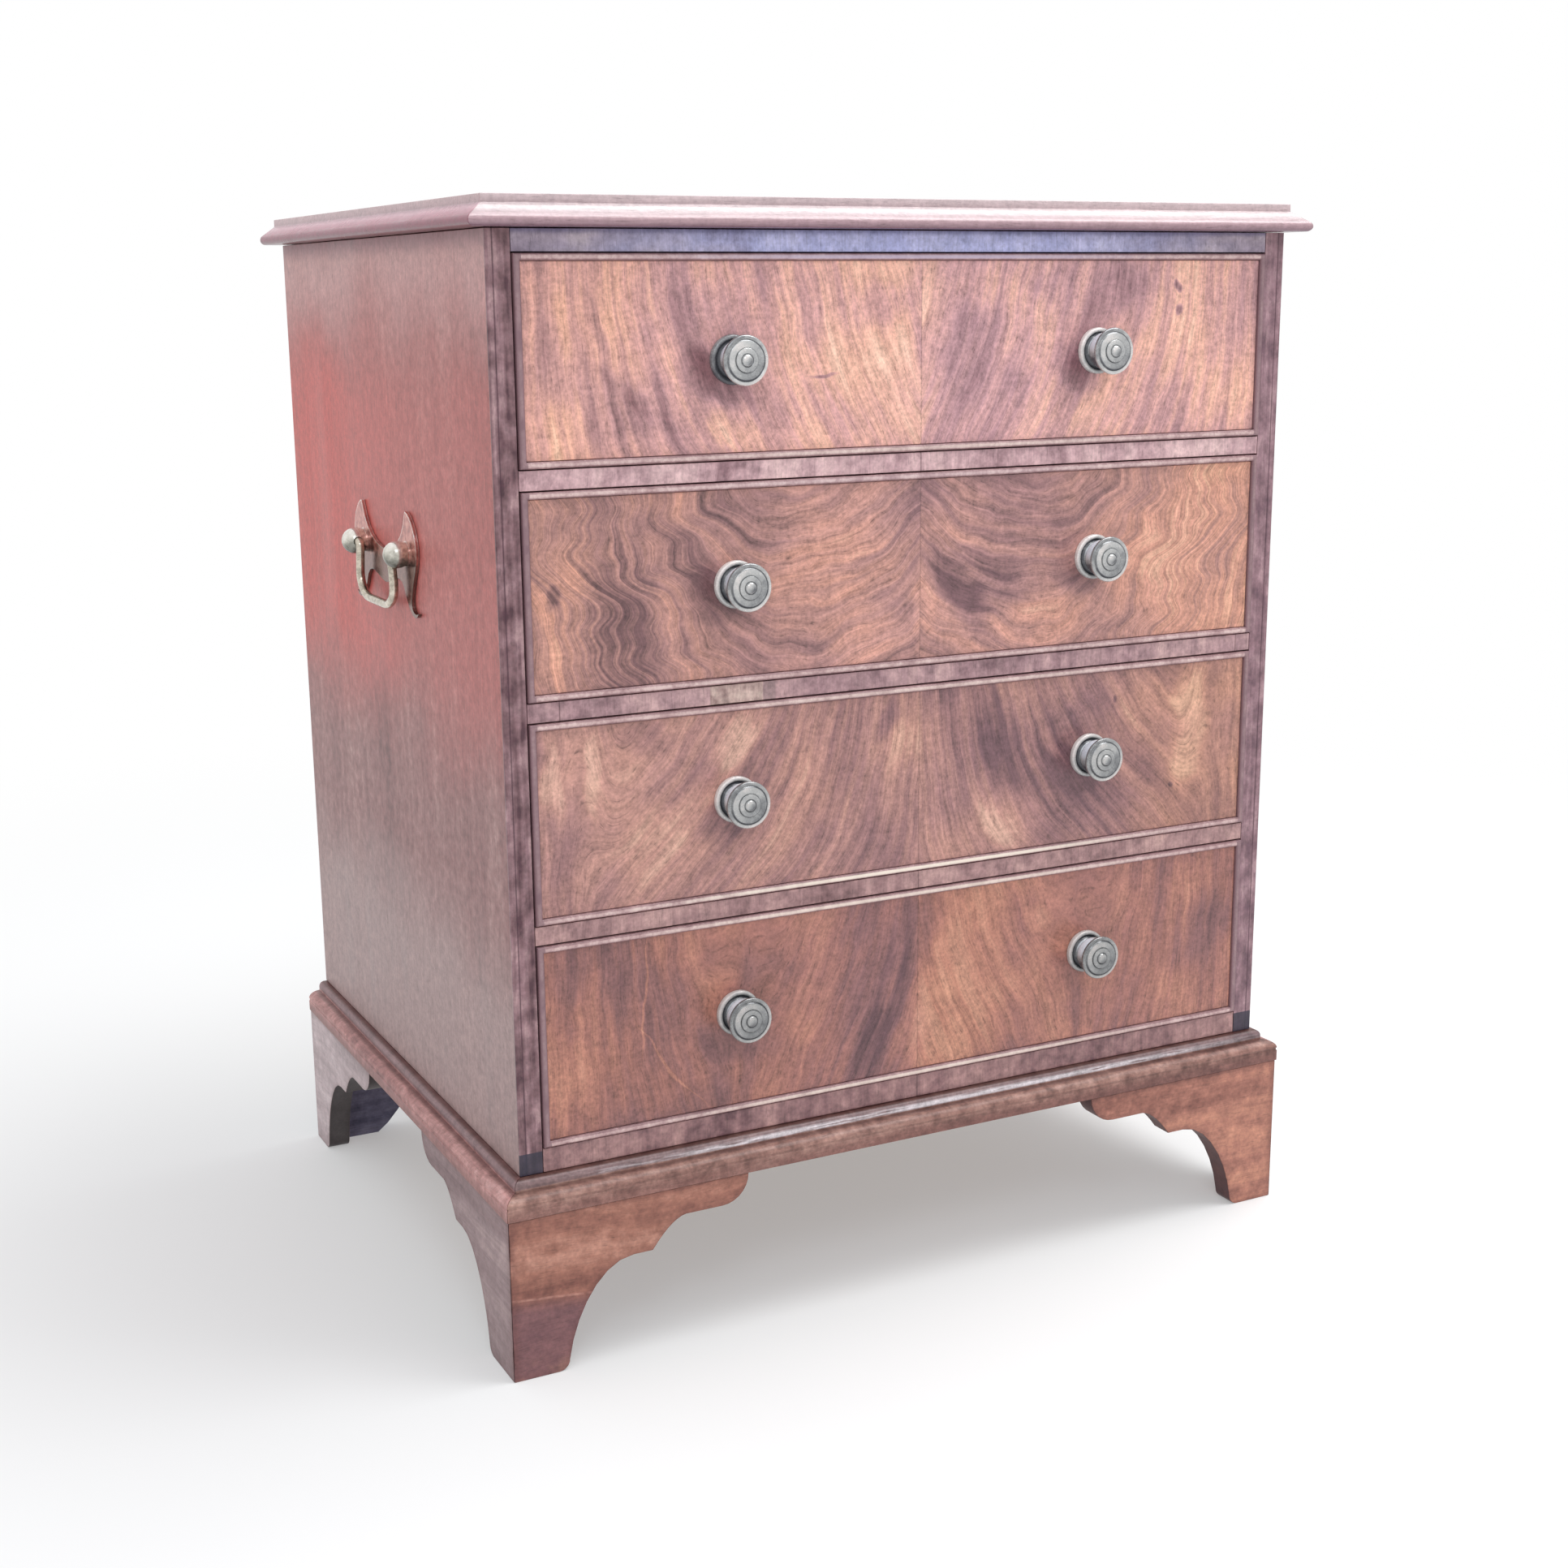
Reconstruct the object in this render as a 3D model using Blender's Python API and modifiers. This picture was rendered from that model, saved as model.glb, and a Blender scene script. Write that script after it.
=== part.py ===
"""Mahogany chest of four long drawers on bracket feet, with brass knobs and carrying handles."""

import math

import bmesh
import bpy
from mathutils import Matrix, Vector

# Driving dimensions, in metres. The front faces -Y and the soles stand on z = 0.
FIT = 0.0003  # clearance left between faces that seat on each other
CUT_OVERRUN = 0.002  # how far a cutter reaches past the face it opens

CASE_WIDTH = 0.620
CASE_DEPTH = 0.480
CASE_HEIGHT = 0.6187  # between the base moulding and the top board
SIDE_THICKNESS = 0.0165
BACK_THICKNESS = 0.010
BACK_REBATE = 0.008
BOTTOM_THICKNESS = 0.012
HOUSING_DEPTH = 0.006

TOP_THICKNESS = 0.020
TOP_OVERHANG = 0.015
TOP_BACK_OVERHANG = 0.012
TOP_STEP_HEIGHT = 0.0055
TOP_STEP_INSET = 0.012
TOP_NOSE_HEIGHT = 0.008
TOP_NOSE_DEPTH = 0.004
TOP_NOSE_TURN = 125  # degrees from the inward level to where the nose goes over into the slope

TOP_RAIL_HEIGHT = 0.0144
DIVIDER_HEIGHT = 0.0129
BOTTOM_RAIL_HEIGHT = 0.0169
RAIL_DEPTH = 0.055
DUSTBOARD_THICKNESS = 0.008

DRAWER_SHARES = (0.2433, 0.2477, 0.2489, 0.2601)  # of the height left for the fronts, top drawer first
DRAWER_REVEAL = 0.0008  # gap above and below a drawer front
DRAWER_SIDE_REVEAL = 0.001
DRAWER_BACK_ROOM = 0.008
FRONT_THICKNESS = 0.020
LINING_THICKNESS = 0.009
LINING_DROP = 0.006
DRAWER_BACK_THICKNESS = 0.008
DRAWER_BACK_DROP = 0.005
DRAWER_BOTTOM_THICKNESS = 0.006
DRAWER_BOTTOM_RISE = 0.005
DRAWER_GROOVE_DEPTH = 0.004
TAIL_COUNT = 3
TAIL_LENGTH = 0.007
TAIL_SLOPE = 1 / 6
TAIL_SHARE = 0.62  # part of the pitch that a tail takes at its root

BEAD_WIDTH = 0.0045
BEAD_PROUD = 0.0026
BEAD_REBATE = 0.010
BEAD_ROUND = 0.0017

KNOB_SPREAD = 0.292
KNOB_DIAMETER = 0.033
KNOB_PROJECTION = 0.0235
KNOB_NECK_DIAMETER = 0.0195
KNOB_NECK_HEIGHT = 0.009
KNOB_FLANGE_THICKNESS = 0.0022
KNOB_DISC_DIAMETER = 0.0245
KNOB_DISC_RISE = 0.0016
KNOB_BOSS_DIAMETER = 0.0145
KNOB_BOSS_RISE = 0.0012
ROSE_DIAMETER = 0.032
ROSE_THICKNESS = 0.003
SHANK_DIAMETER = 0.005
SHANK_LENGTH = 0.014

MOULDING_HEIGHT = 0.0243
MOULDING_PROJECTION = 0.016
MOULDING_SEAT = 0.030
MOULDING_LIP = 0.002
MOULDING_BEAD = 0.0045
MOULDING_QUIRK = 0.003
MOULDING_OVOLO = 0.006
MOULDING_COVE = 0.0006
MOULDING_FILLET = 0.0083

BRACKET_HEIGHT = 0.1167
BRACKET_THICKNESS = 0.018
BRACKET_PROJECTION = 0.0152
FACE_SOLE_WIDTH = 0.041
RETURN_SOLE_WIDTH = 0.049
REAR_SOLE_WIDTH = 0.037
SOLE_ROUND = 0.008
SWEEP_RUN = 0.049
CUSP_FLAT = 0.0145
COVE_RUN = 0.0255
COVE_DROP = 0.0215
LOBE_FLAT = 0.0283
LOBE_RADIUS = 0.0207
BRACE_THICKNESS = 0.018
BRACE_SOLE = 0.049
BRACE_REACH = 0.105

HANDLE_HEIGHT = 0.4015  # pivot line above the bottom of the case
HANDLE_SET_FORWARD = 0.008  # its middle before the middle of the side
HANDLE_PIVOT_OFFSET = 0.0095
POST_SPACING = 0.103
POST_BALL_DIAMETER = 0.0195
POST_NECK_DIAMETER = 0.017
POST_PIN_DIAMETER = 0.005
POST_PIN_LENGTH = 0.012
PLATE_WIDTH = 0.160
PLATE_RISE = 0.030
PLATE_DROP = 0.041
PLATE_THICKNESS = 0.0025
BAIL_DIAMETER = 0.0065
BAIL_DROP = 0.039
BAIL_ARM_INSET = 0.014
BAIL_FLARE = 0.005
BAIL_KNEE_RISE = 0.010
BAIL_KNEE_RUN = 0.015
BAIL_BEND = 0.005
BAIL_KNEE_BEND = 0.009
BAIL_END_ROOM = 0.0006

CURVE_STEPS = 7  # points along each curve of a moulding or an outline
TURNED_CURVE_STEPS = 4
TURN_STEPS = 18
BEND_STEPS = 4
BAIL_RESOLUTION = 3
ROD_SIDES = 16

# Curves of the bracket's inner edge: control points as shares of each curve's run and rise
SWEEP_SHARES = ((0.1, 0.48), (0.5, 1.0))
COVE_SHARES = ((0.38, 0.62), (0.71, 0.95))
BRACE_SHARES = ((0.35, 0.1), (0.92, 0.5))

# Half of the handle plate's edge, from the dip at its top to the point at its foot. Each row is the two
# control points and the end of a curve, across by the plate's half width and up by its rise or drop.
PLATE_DIP_SHARE = (0.0, -0.03)
PLATE_CURVE_SHARES = (
    ((0.18, 0.0), (0.52, 0.06), (0.66, 1.0)),
    ((0.78, 0.95), (0.92, 0.6), (0.93, 0.12)),
    ((0.94, -0.25), (0.80, -0.4), (0.75, -0.80)),
    ((0.73, -0.97), (0.84, -1.04), (0.93, -0.97)),
    ((0.84, -1.2), (0.65, -0.98), (0.55, -0.6)),
    ((0.42, -0.30), (0.17, -0.62), (0.0, -0.62)),
)

# Sizes that follow from the driving ones
half_width = CASE_WIDTH / 2
inner_half = half_width - SIDE_THICKNESS
front_y = -(CASE_DEPTH + TOP_BACK_OVERHANG - KNOB_PROJECTION) / 2
back_y = front_y + CASE_DEPTH
panel_y = back_y - BACK_THICKNESS
rail_back_y = front_y + RAIL_DEPTH
case_z = BRACKET_HEIGHT + MOULDING_HEIGHT
top_z = case_z + CASE_HEIGHT
front_count = len(DRAWER_SHARES)
rails_height = TOP_RAIL_HEIGHT + (front_count - 1) * DIVIDER_HEIGHT + BOTTOM_RAIL_HEIGHT
fronts_height = CASE_HEIGHT - rails_height - front_count * 2 * DRAWER_REVEAL
drawer_heights = [fronts_height * share / sum(DRAWER_SHARES) for share in DRAWER_SHARES]
drawer_half = inner_half - DRAWER_SIDE_REVEAL
front_back_y = front_y + FRONT_THICKNESS
drawer_rear_y = panel_y - DRAWER_BACK_ROOM
handle_z = case_z + HANDLE_HEIGHT
handle_y = (front_y + back_y) / 2 - HANDLE_SET_FORWARD

# Colour, roughness and metallic of each material
LOOKS = {
    "mahogany": ((0.215, 0.085, 0.05), 0.38, 0.0),
    "flame_veneer": ((0.33, 0.13, 0.065), 0.3, 0.0),
    "beading": ((0.3, 0.15, 0.1), 0.35, 0.0),
    "lining_oak": ((0.4, 0.27, 0.15), 0.65, 0.0),
    "aged_brass": ((0.45, 0.41, 0.3), 0.36, 1.0),
}

# Frames that a flat outline is drawn in: its own X, Y and thickness directions as columns
SEEN_FROM_FRONT = Matrix(((1, 0, 0), (0, 0, -1), (0, 1, 0))).to_4x4()
SEEN_FROM_SIDE = Matrix(((0, 0, 1), (1, 0, 0), (0, 1, 0))).to_4x4()


def clear_scene():
    for obj in list(bpy.data.objects):
        bpy.data.objects.remove(obj, do_unlink=True)


def new_collection(name):
    made = bpy.data.collections.new(name)
    bpy.context.scene.collection.children.link(made)
    return made


def material_named(name):
    made = bpy.data.materials.get(name)
    if made is None:
        colour, roughness, metallic = LOOKS[name]
        made = bpy.data.materials.new(name)
        made.use_nodes = True
        shader = made.node_tree.nodes["Principled BSDF"]
        shader.inputs["Base Color"].default_value = (*colour, 1)
        shader.inputs["Roughness"].default_value = roughness
        shader.inputs["Metallic"].default_value = metallic
    return made


def pivot(name, place):
    """An empty that a group of pieces hangs from; that of a moving group lies on its joint axis."""
    empty = bpy.data.objects.new(name, None)
    empty.location = place
    parts.objects.link(empty)
    bpy.context.view_layer.update()
    return empty


def add_part(name, mesh, placing, look, group):
    obj = bpy.data.objects.new(name, mesh)
    parts.objects.link(obj)
    mesh.materials.clear()
    mesh.materials.append(material_named(look))
    obj.parent = group
    obj.matrix_parent_inverse = group.matrix_world.inverted()
    obj.matrix_basis = placing
    return obj


def add_cutter(name, mesh, placing):
    obj = bpy.data.objects.new(name, mesh)
    obj.matrix_world = placing
    obj.hide_render = True
    obj.display_type = "WIRE"
    cutters.objects.link(obj)
    return obj


def combine(obj, other, operation="DIFFERENCE"):
    change = obj.modifiers.new(other.name, "BOOLEAN")
    change.operation = operation
    change.solver = "EXACT"
    change.object = other


def baked_mesh(obj):
    """The evaluated mesh of a curve or a spun profile, with its caps welded on."""
    bpy.context.view_layer.update()
    graph = bpy.context.evaluated_depsgraph_get()
    mesh = bpy.data.meshes.new_from_object(obj.evaluated_get(graph))
    bpy.data.objects.remove(obj, do_unlink=True)
    shape = bmesh.new()
    shape.from_mesh(mesh)
    bmesh.ops.remove_doubles(shape, verts=shape.verts, dist=1e-6)
    bmesh.ops.recalc_face_normals(shape, faces=shape.faces)
    shape.to_mesh(mesh)
    shape.free()
    return mesh


def soften(mesh):
    mesh.shade_smooth()
    mesh.set_sharp_from_angle(angle=math.radians(35))
    return mesh


def box(low, high):
    """A box from corner to corner about its own centre, and the matrix that places it."""
    low, high = Vector(low), Vector(high)
    shape = bmesh.new()
    bmesh.ops.create_cube(shape, size=1)
    bmesh.ops.scale(shape, vec=high - low, verts=shape.verts)
    mesh = bpy.data.meshes.new("box")
    shape.to_mesh(mesh)
    shape.free()
    return mesh, Matrix.Translation((low + high) / 2)


def prism(outline, axes, low, high):
    """A flat outline drawn out from low to high across its plane, and the matrix that places it."""
    curve = bpy.data.curves.new("outline", "CURVE")
    curve.dimensions = "2D"
    curve.fill_mode = "BOTH"
    curve.extrude = (high - low) / 2
    spline = curve.splines.new("POLY")
    spline.points.add(len(outline) - 1)
    for point, (u, v) in zip(spline.points, outline):
        point.co = (u, v, 0, 1)
    spline.use_cyclic_u = True
    flat = bpy.data.objects.new("outline", curve)
    bpy.context.scene.collection.objects.link(flat)
    return baked_mesh(flat), axes @ Matrix.Translation((0, 0, (low + high) / 2))


def turned(profile):
    """A profile of (radius, height) points, from the top of its axis to the bottom, spun round Z."""
    mesh = bpy.data.meshes.new("profile")
    points = [(radius, 0, height) for radius, height in profile]
    mesh.from_pydata(points, [(i, i + 1) for i in range(len(points) - 1)], [])
    spun = bpy.data.objects.new("profile", mesh)
    bpy.context.scene.collection.objects.link(spun)
    screw = spun.modifiers.new("turn", "SCREW")
    screw.steps = TURN_STEPS
    screw.render_steps = TURN_STEPS
    screw.use_merge_vertices = True
    screw.merge_threshold = 0.00005
    return soften(baked_mesh(spun))


def rod(diameter, length):
    shape = bmesh.new()
    bmesh.ops.create_cone(
        shape,
        cap_ends=True,
        segments=ROD_SIDES,
        radius1=diameter / 2,
        radius2=diameter / 2,
        depth=length,
    )
    mesh = bpy.data.meshes.new("rod")
    shape.to_mesh(mesh)
    shape.free()
    return mesh


def rings(sections, closed=False):
    """Rectangles of (low, high, height) joined in order, capped at both ends or closed into a frame."""
    shape = bmesh.new()
    loops = []
    for low, high, height in sections:
        corners = ((low[0], low[1]), (high[0], low[1]), (high[0], high[1]), (low[0], high[1]))
        loops.append([shape.verts.new((u, v, height)) for u, v in corners])
    pairs = list(zip(loops, loops[1:]))
    if closed:
        pairs.append((loops[-1], loops[0]))
    else:
        shape.faces.new(loops[0])
        shape.faces.new(loops[-1])
    for one, other in pairs:
        for i in range(4):
            j = (i + 1) % 4
            shape.faces.new((one[i], one[j], other[j], other[i]))
    bmesh.ops.recalc_face_normals(shape, faces=shape.faces)
    mesh = bpy.data.meshes.new("rings")
    shape.to_mesh(mesh)
    shape.free()
    return mesh


def mitre(obj, point, normal):
    """Cuts a piece along an upright plane and keeps the part behind it."""
    inward = obj.matrix_basis.inverted()
    shape = bmesh.new()
    shape.from_mesh(obj.data)
    bmesh.ops.bisect_plane(
        shape,
        geom=shape.verts[:] + shape.edges[:] + shape.faces[:],
        plane_co=inward @ point,
        plane_no=inward.to_3x3() @ normal,
        clear_outer=True,
    )
    rim = [edge for edge in shape.edges if edge.is_boundary]
    bmesh.ops.holes_fill(shape, edges=rim)
    bmesh.ops.recalc_face_normals(shape, faces=shape.faces)
    shape.to_mesh(obj.data)
    shape.free()


def arc(centre, radii, start, stop, steps=CURVE_STEPS):
    """Points on an elliptical arc, from one angle to another in degrees, ends included."""
    points = []
    for i in range(steps + 1):
        angle = math.radians(start + (stop - start) * i / steps)
        points.append((centre[0] + radii[0] * math.cos(angle), centre[1] + radii[1] * math.sin(angle)))
    return points


def bezier(start, first, second, end):
    """Points on a cubic curve, without its start and with its end."""
    a, b, c, d = (Vector(point) for point in (start, first, second, end))
    points = []
    for i in range(1, CURVE_STEPS + 1):
        t = i / CURVE_STEPS
        s = 1 - t
        points.append(tuple(s**3 * a + 3 * s * s * t * b + 3 * s * t * t * c + t**3 * d))
    return points


def shared_bezier(start, end, controls):
    """A cubic curve whose control points are shares of the way from its start to its end."""
    run, rise = end[0] - start[0], end[1] - start[1]
    first, second = ((start[0] + u * run, start[1] + v * rise) for u, v in controls)
    return bezier(start, first, second, end)


def rounded_path(corners, bends):
    """A line through the corners, with each inner corner eased over a length set by its bend."""
    corners = [Vector(corner) for corner in corners]
    path = [corners[0]]
    for before, corner, after, bend in zip(corners, corners[1:], corners[2:], bends):
        start = corner + (before - corner).normalized() * min(bend, 0.45 * (before - corner).length)
        stop = corner + (after - corner).normalized() * min(bend, 0.45 * (after - corner).length)
        for i in range(BEND_STEPS + 1):
            t = i / BEND_STEPS
            path.append((1 - t) ** 2 * start + 2 * t * (1 - t) * corner + t * t * stop)
    path.append(corners[-1])
    return path


def inset_box(low, high, inset):
    return (low[0] + inset, low[1] + inset), (high[0] - inset, high[1] - inset)


def build_top():
    """The top board: a round nose and a slope under a square step, on the front and both ends."""
    middle = (TOP_NOSE_DEPTH, TOP_NOSE_HEIGHT / 2)
    undercut = arc(middle, (middle[0], middle[1] - FIT), 270, 180)
    nose = arc(middle, middle, 180, TOP_NOSE_TURN)
    step = [(TOP_STEP_INSET, TOP_THICKNESS - TOP_STEP_HEIGHT), (TOP_STEP_INSET, TOP_THICKNESS)]
    edge = undercut + nose[1:] + step
    reach = half_width + TOP_OVERHANG
    sections = []
    for inset, height in edge:
        low = (-reach + inset, front_y - TOP_OVERHANG + inset)
        high = (reach - inset, back_y + TOP_BACK_OVERHANG)
        sections.append((low, high, height))
    add_part("top_board", rings(sections), Matrix.Translation((0, 0, top_z)), "mahogany", case_group)


def build_sides(shelves):
    """Both sides, housed for every board in shelves and rebated for the back panel."""
    for side, sign in (("left", -1), ("right", 1)):
        xs = sorted((sign * inner_half, sign * half_width))
        panel = add_part(
            f"side_{side}",
            *box((xs[0], front_y, case_z), (xs[1], back_y, top_z - FIT)),
            "mahogany",
            case_group,
        )
        housed = sorted((sign * (inner_half - CUT_OVERRUN), sign * (inner_half + HOUSING_DEPTH)))
        for name, low_z, high_z in shelves:
            housing = add_cutter(
                f"{name}_housing_{side}",
                *box(
                    (housed[0], rail_back_y, low_z - FIT),
                    (housed[1], panel_y + CUT_OVERRUN, high_z + FIT),
                ),
            )
            combine(panel, housing)
        rebated = sorted((sign * (inner_half - CUT_OVERRUN), sign * (inner_half + BACK_REBATE)))
        rebate = add_cutter(
            f"back_rebate_{side}",
            *box(
                (rebated[0], panel_y, case_z - CUT_OVERRUN),
                (rebated[1], back_y + CUT_OVERRUN, top_z + CUT_OVERRUN),
            ),
        )
        combine(panel, rebate)
        for end in (-1, 1):
            depth = POST_PIN_LENGTH + 2 * FIT
            bore = add_cutter(
                f"post_bore_{side}_{end}",
                rod(POST_PIN_DIAMETER + 2 * FIT, depth + CUT_OVERRUN),
                Matrix.Translation(
                    (
                        sign * (half_width + (CUT_OVERRUN - depth) / 2),
                        handle_y + end * POST_SPACING / 2,
                        handle_z,
                    )
                )
                @ Matrix.Rotation(math.pi / 2, 4, "Y"),
            )
            combine(panel, bore)


def build_shelf(name, low_z, high_z, look):
    reach = inner_half + HOUSING_DEPTH - FIT
    low = (-reach, rail_back_y + FIT, low_z)
    high = (reach, panel_y - FIT, high_z)
    add_part(name, *box(low, high), look, case_group)


def build_rail(name, low_z, high_z):
    reach = inner_half - FIT
    add_part(name, *box((-reach, front_y, low_z), (reach, rail_back_y, high_z)), "mahogany", case_group)


def build_case():
    """The carcass, its rails and dust boards; returns the floor height of each drawer opening."""
    shelves = []
    floors = []
    floor = case_z + BOTTOM_RAIL_HEIGHT
    build_rail("bottom_rail", case_z, floor)
    shelves.append(("case_bottom", floor - BOTTOM_THICKNESS, floor))
    for i in reversed(range(front_count)):
        floors.insert(0, floor)
        floor += drawer_heights[i] + 2 * DRAWER_REVEAL
        if i:
            build_rail(f"divider_{i}", floor, floor + DIVIDER_HEIGHT)
            floor += DIVIDER_HEIGHT
            shelves.append((f"dustboard_{i}", floor - DUSTBOARD_THICKNESS, floor))
    build_rail("top_rail", floor, top_z - FIT)
    for name, low_z, high_z in shelves:
        build_shelf(name, low_z, high_z, "lining_oak")
    build_sides(shelves)
    reach = inner_half + BACK_REBATE - FIT
    add_part(
        "back_panel",
        *box((-reach, panel_y + FIT, case_z), (reach, back_y, top_z - FIT)),
        "lining_oak",
        case_group,
    )
    build_top()
    return floors


def moulding_profile():
    """The base moulding's section: (out from the case, up from its foot)."""
    top = MOULDING_HEIGHT - FIT
    shoulder = MOULDING_LIP + MOULDING_BEAD
    nose_z = top - MOULDING_BEAD - MOULDING_QUIRK - MOULDING_OVOLO
    bead = arc((MOULDING_LIP, top - MOULDING_BEAD), (MOULDING_BEAD, MOULDING_BEAD), 90, 0)
    ovolo = arc((shoulder, nose_z), (MOULDING_PROJECTION - shoulder, MOULDING_OVOLO), 90, 0)
    cove_height = (nose_z - MOULDING_FILLET) / 2
    cove = arc((MOULDING_PROJECTION, nose_z - cove_height), (MOULDING_COVE, cove_height), 90, 270)
    fillet = [(MOULDING_PROJECTION, 0)]
    return [(-MOULDING_SEAT, 0), (-MOULDING_SEAT, top)] + bead + ovolo + cove[1:] + fillet


def corner_planes(sign):
    """The upright plane of a front corner's mitre: its point and normal for the front and for the return."""
    corner = Vector((sign * half_width, front_y, 0))
    outward = Vector((sign, 1, 0)).normalized()
    return (corner - outward * FIT / 2, outward), (corner + outward * FIT / 2, -outward)


def build_moulding():
    """The base moulding under the case: a front strip mitred to two returns."""
    profile = moulding_profile()
    lift = Matrix.Translation((0, 0, BRACKET_HEIGHT))
    reach = half_width + MOULDING_PROJECTION
    mesh, placing = prism([(front_y - out, up) for out, up in profile], SEEN_FROM_SIDE, -reach, reach)
    strip = add_part("base_moulding_front", mesh, lift @ placing, "mahogany", case_group)
    for side, sign in (("left", -1), ("right", 1)):
        front_plane, return_plane = corner_planes(sign)
        mitre(strip, *front_plane)
        outline = [(sign * (half_width + out), up) for out, up in profile]
        mesh, placing = prism(outline, SEEN_FROM_FRONT, -back_y, MOULDING_PROJECTION - front_y)
        turn = add_part(f"base_moulding_{side}", mesh, lift @ placing, "mahogany", case_group)
        mitre(turn, *return_plane)


def bracket_outline(sole_width):
    """A bracket foot's face: (in from its outer corner, up from the floor)."""
    top = BRACKET_HEIGHT - FIT
    lobe_z = top - LOBE_RADIUS
    cusp_z = lobe_z - COVE_DROP
    cusp = sole_width + SWEEP_RUN
    cove = cusp + CUSP_FLAT
    flat = cove + COVE_RUN
    lobe = flat + LOBE_FLAT
    sole = arc((sole_width - SOLE_ROUND, SOLE_ROUND), (SOLE_ROUND, SOLE_ROUND), 270, 360)
    sweep = shared_bezier(sole[-1], (cusp, cusp_z), SWEEP_SHARES)
    rise = shared_bezier((cove, cusp_z), (flat, lobe_z), COVE_SHARES)
    end = arc((lobe, top), (LOBE_RADIUS, LOBE_RADIUS), 270, 360)
    return [(0, top), (0, 0)] + sole + sweep + [(cove, cusp_z)] + rise + end


def brace_outline():
    """The rear brace of a back foot, measured from the same outer face as the bracket."""
    top = BRACKET_HEIGHT - FIT
    inner = BRACKET_THICKNESS + FIT
    sweep = shared_bezier((BRACE_SOLE, 0), (BRACE_REACH, top), BRACE_SHARES)
    return [(inner, top), (inner, 0), (BRACE_SOLE, 0)] + sweep


def build_feet():
    """Front feet of two mitred brackets each, and back feet of a bracket and a rough brace behind it."""
    face_outline = bracket_outline(FACE_SOLE_WIDTH)
    return_outline = bracket_outline(RETURN_SOLE_WIDTH)
    rear_outline = bracket_outline(REAR_SOLE_WIDTH)
    face_y = front_y - BRACKET_PROJECTION
    for side, sign in (("left", -1), ("right", 1)):
        front_plane, return_plane = corner_planes(sign)
        outer = sign * (half_width + BRACKET_PROJECTION)
        xs = sorted((outer, outer - sign * BRACKET_THICKNESS))

        face_points = [(outer - sign * u, v) for u, v in face_outline]
        mesh, placing = prism(face_points, SEEN_FROM_FRONT, -face_y - BRACKET_THICKNESS, -face_y)
        face = add_part(f"foot_front_{side}_face", mesh, placing, "mahogany", case_group)
        mitre(face, *front_plane)

        mesh, placing = prism([(face_y + u, v) for u, v in return_outline], SEEN_FROM_SIDE, *xs)
        turn = add_part(f"foot_front_{side}_return", mesh, placing, "mahogany", case_group)
        mitre(turn, *return_plane)

        mesh, placing = prism([(back_y - u, v) for u, v in rear_outline], SEEN_FROM_SIDE, *xs)
        add_part(f"foot_rear_{side}_return", mesh, placing, "mahogany", case_group)

        mesh, placing = prism(
            [(outer - sign * u, v) for u, v in brace_outline()],
            SEEN_FROM_FRONT,
            -back_y,
            BRACE_THICKNESS - back_y,
        )
        add_part(f"foot_rear_{side}_brace", mesh, placing, "lining_oak", case_group)


def tail_comb(low_z, high_z, shoulder_y, tip_y, grow):
    """The dovetails of a lining's front end, from the top one down; grow widens them for their sockets."""
    pitch = (high_z - low_z) / TAIL_COUNT
    root_y = front_back_y
    comb = []
    for i in reversed(range(TAIL_COUNT)):
        middle = low_z + (i + 0.5) * pitch
        widths = [
            TAIL_SHARE * pitch / 2 + (root_y - y) * TAIL_SLOPE + grow for y in (shoulder_y, tip_y)
        ]
        comb.append((shoulder_y, middle + widths[0]))
        comb.append((tip_y, middle + widths[1]))
        comb.append((tip_y, middle - widths[1]))
        comb.append((shoulder_y, middle - widths[0]))
    return comb


def knob_profile():
    """A turned knob on its rose and screw, heights measured out from the drawer's face."""
    head, neck, rose = KNOB_DIAMETER / 2, KNOB_NECK_DIAMETER / 2, ROSE_DIAMETER / 2
    disc, boss, shank = KNOB_DISC_DIAMETER / 2, KNOB_BOSS_DIAMETER / 2, SHANK_DIAMETER / 2
    disc_z = KNOB_PROJECTION - KNOB_BOSS_RISE
    flange_z = disc_z - KNOB_DISC_RISE
    under_z = flange_z - KNOB_FLANGE_THICKNESS
    steps = TURNED_CURVE_STEPS
    face = arc((0, disc_z), (boss, KNOB_BOSS_RISE), 90, 0, steps)
    face += arc((boss, flange_z), (disc - boss, KNOB_DISC_RISE), 60, 0, steps)
    flange = arc((head - KNOB_FLANGE_THICKNESS / 2, (flange_z + under_z) / 2),
                 (KNOB_FLANGE_THICKNESS / 2, KNOB_FLANGE_THICKNESS / 2), 90, -90, steps)
    cup = arc((neck, under_z), (disc - neck, under_z - KNOB_NECK_HEIGHT), 0, -70, steps)
    foot = arc((rose, KNOB_NECK_HEIGHT), (rose - neck, KNOB_NECK_HEIGHT - ROSE_THICKNESS), 180, 250, steps)
    seat = [(rose, ROSE_THICKNESS / 2), (rose, FIT), (shank, FIT), (shank, -SHANK_LENGTH), (0, -SHANK_LENGTH)]
    return face + flange + cup + foot + seat


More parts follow.
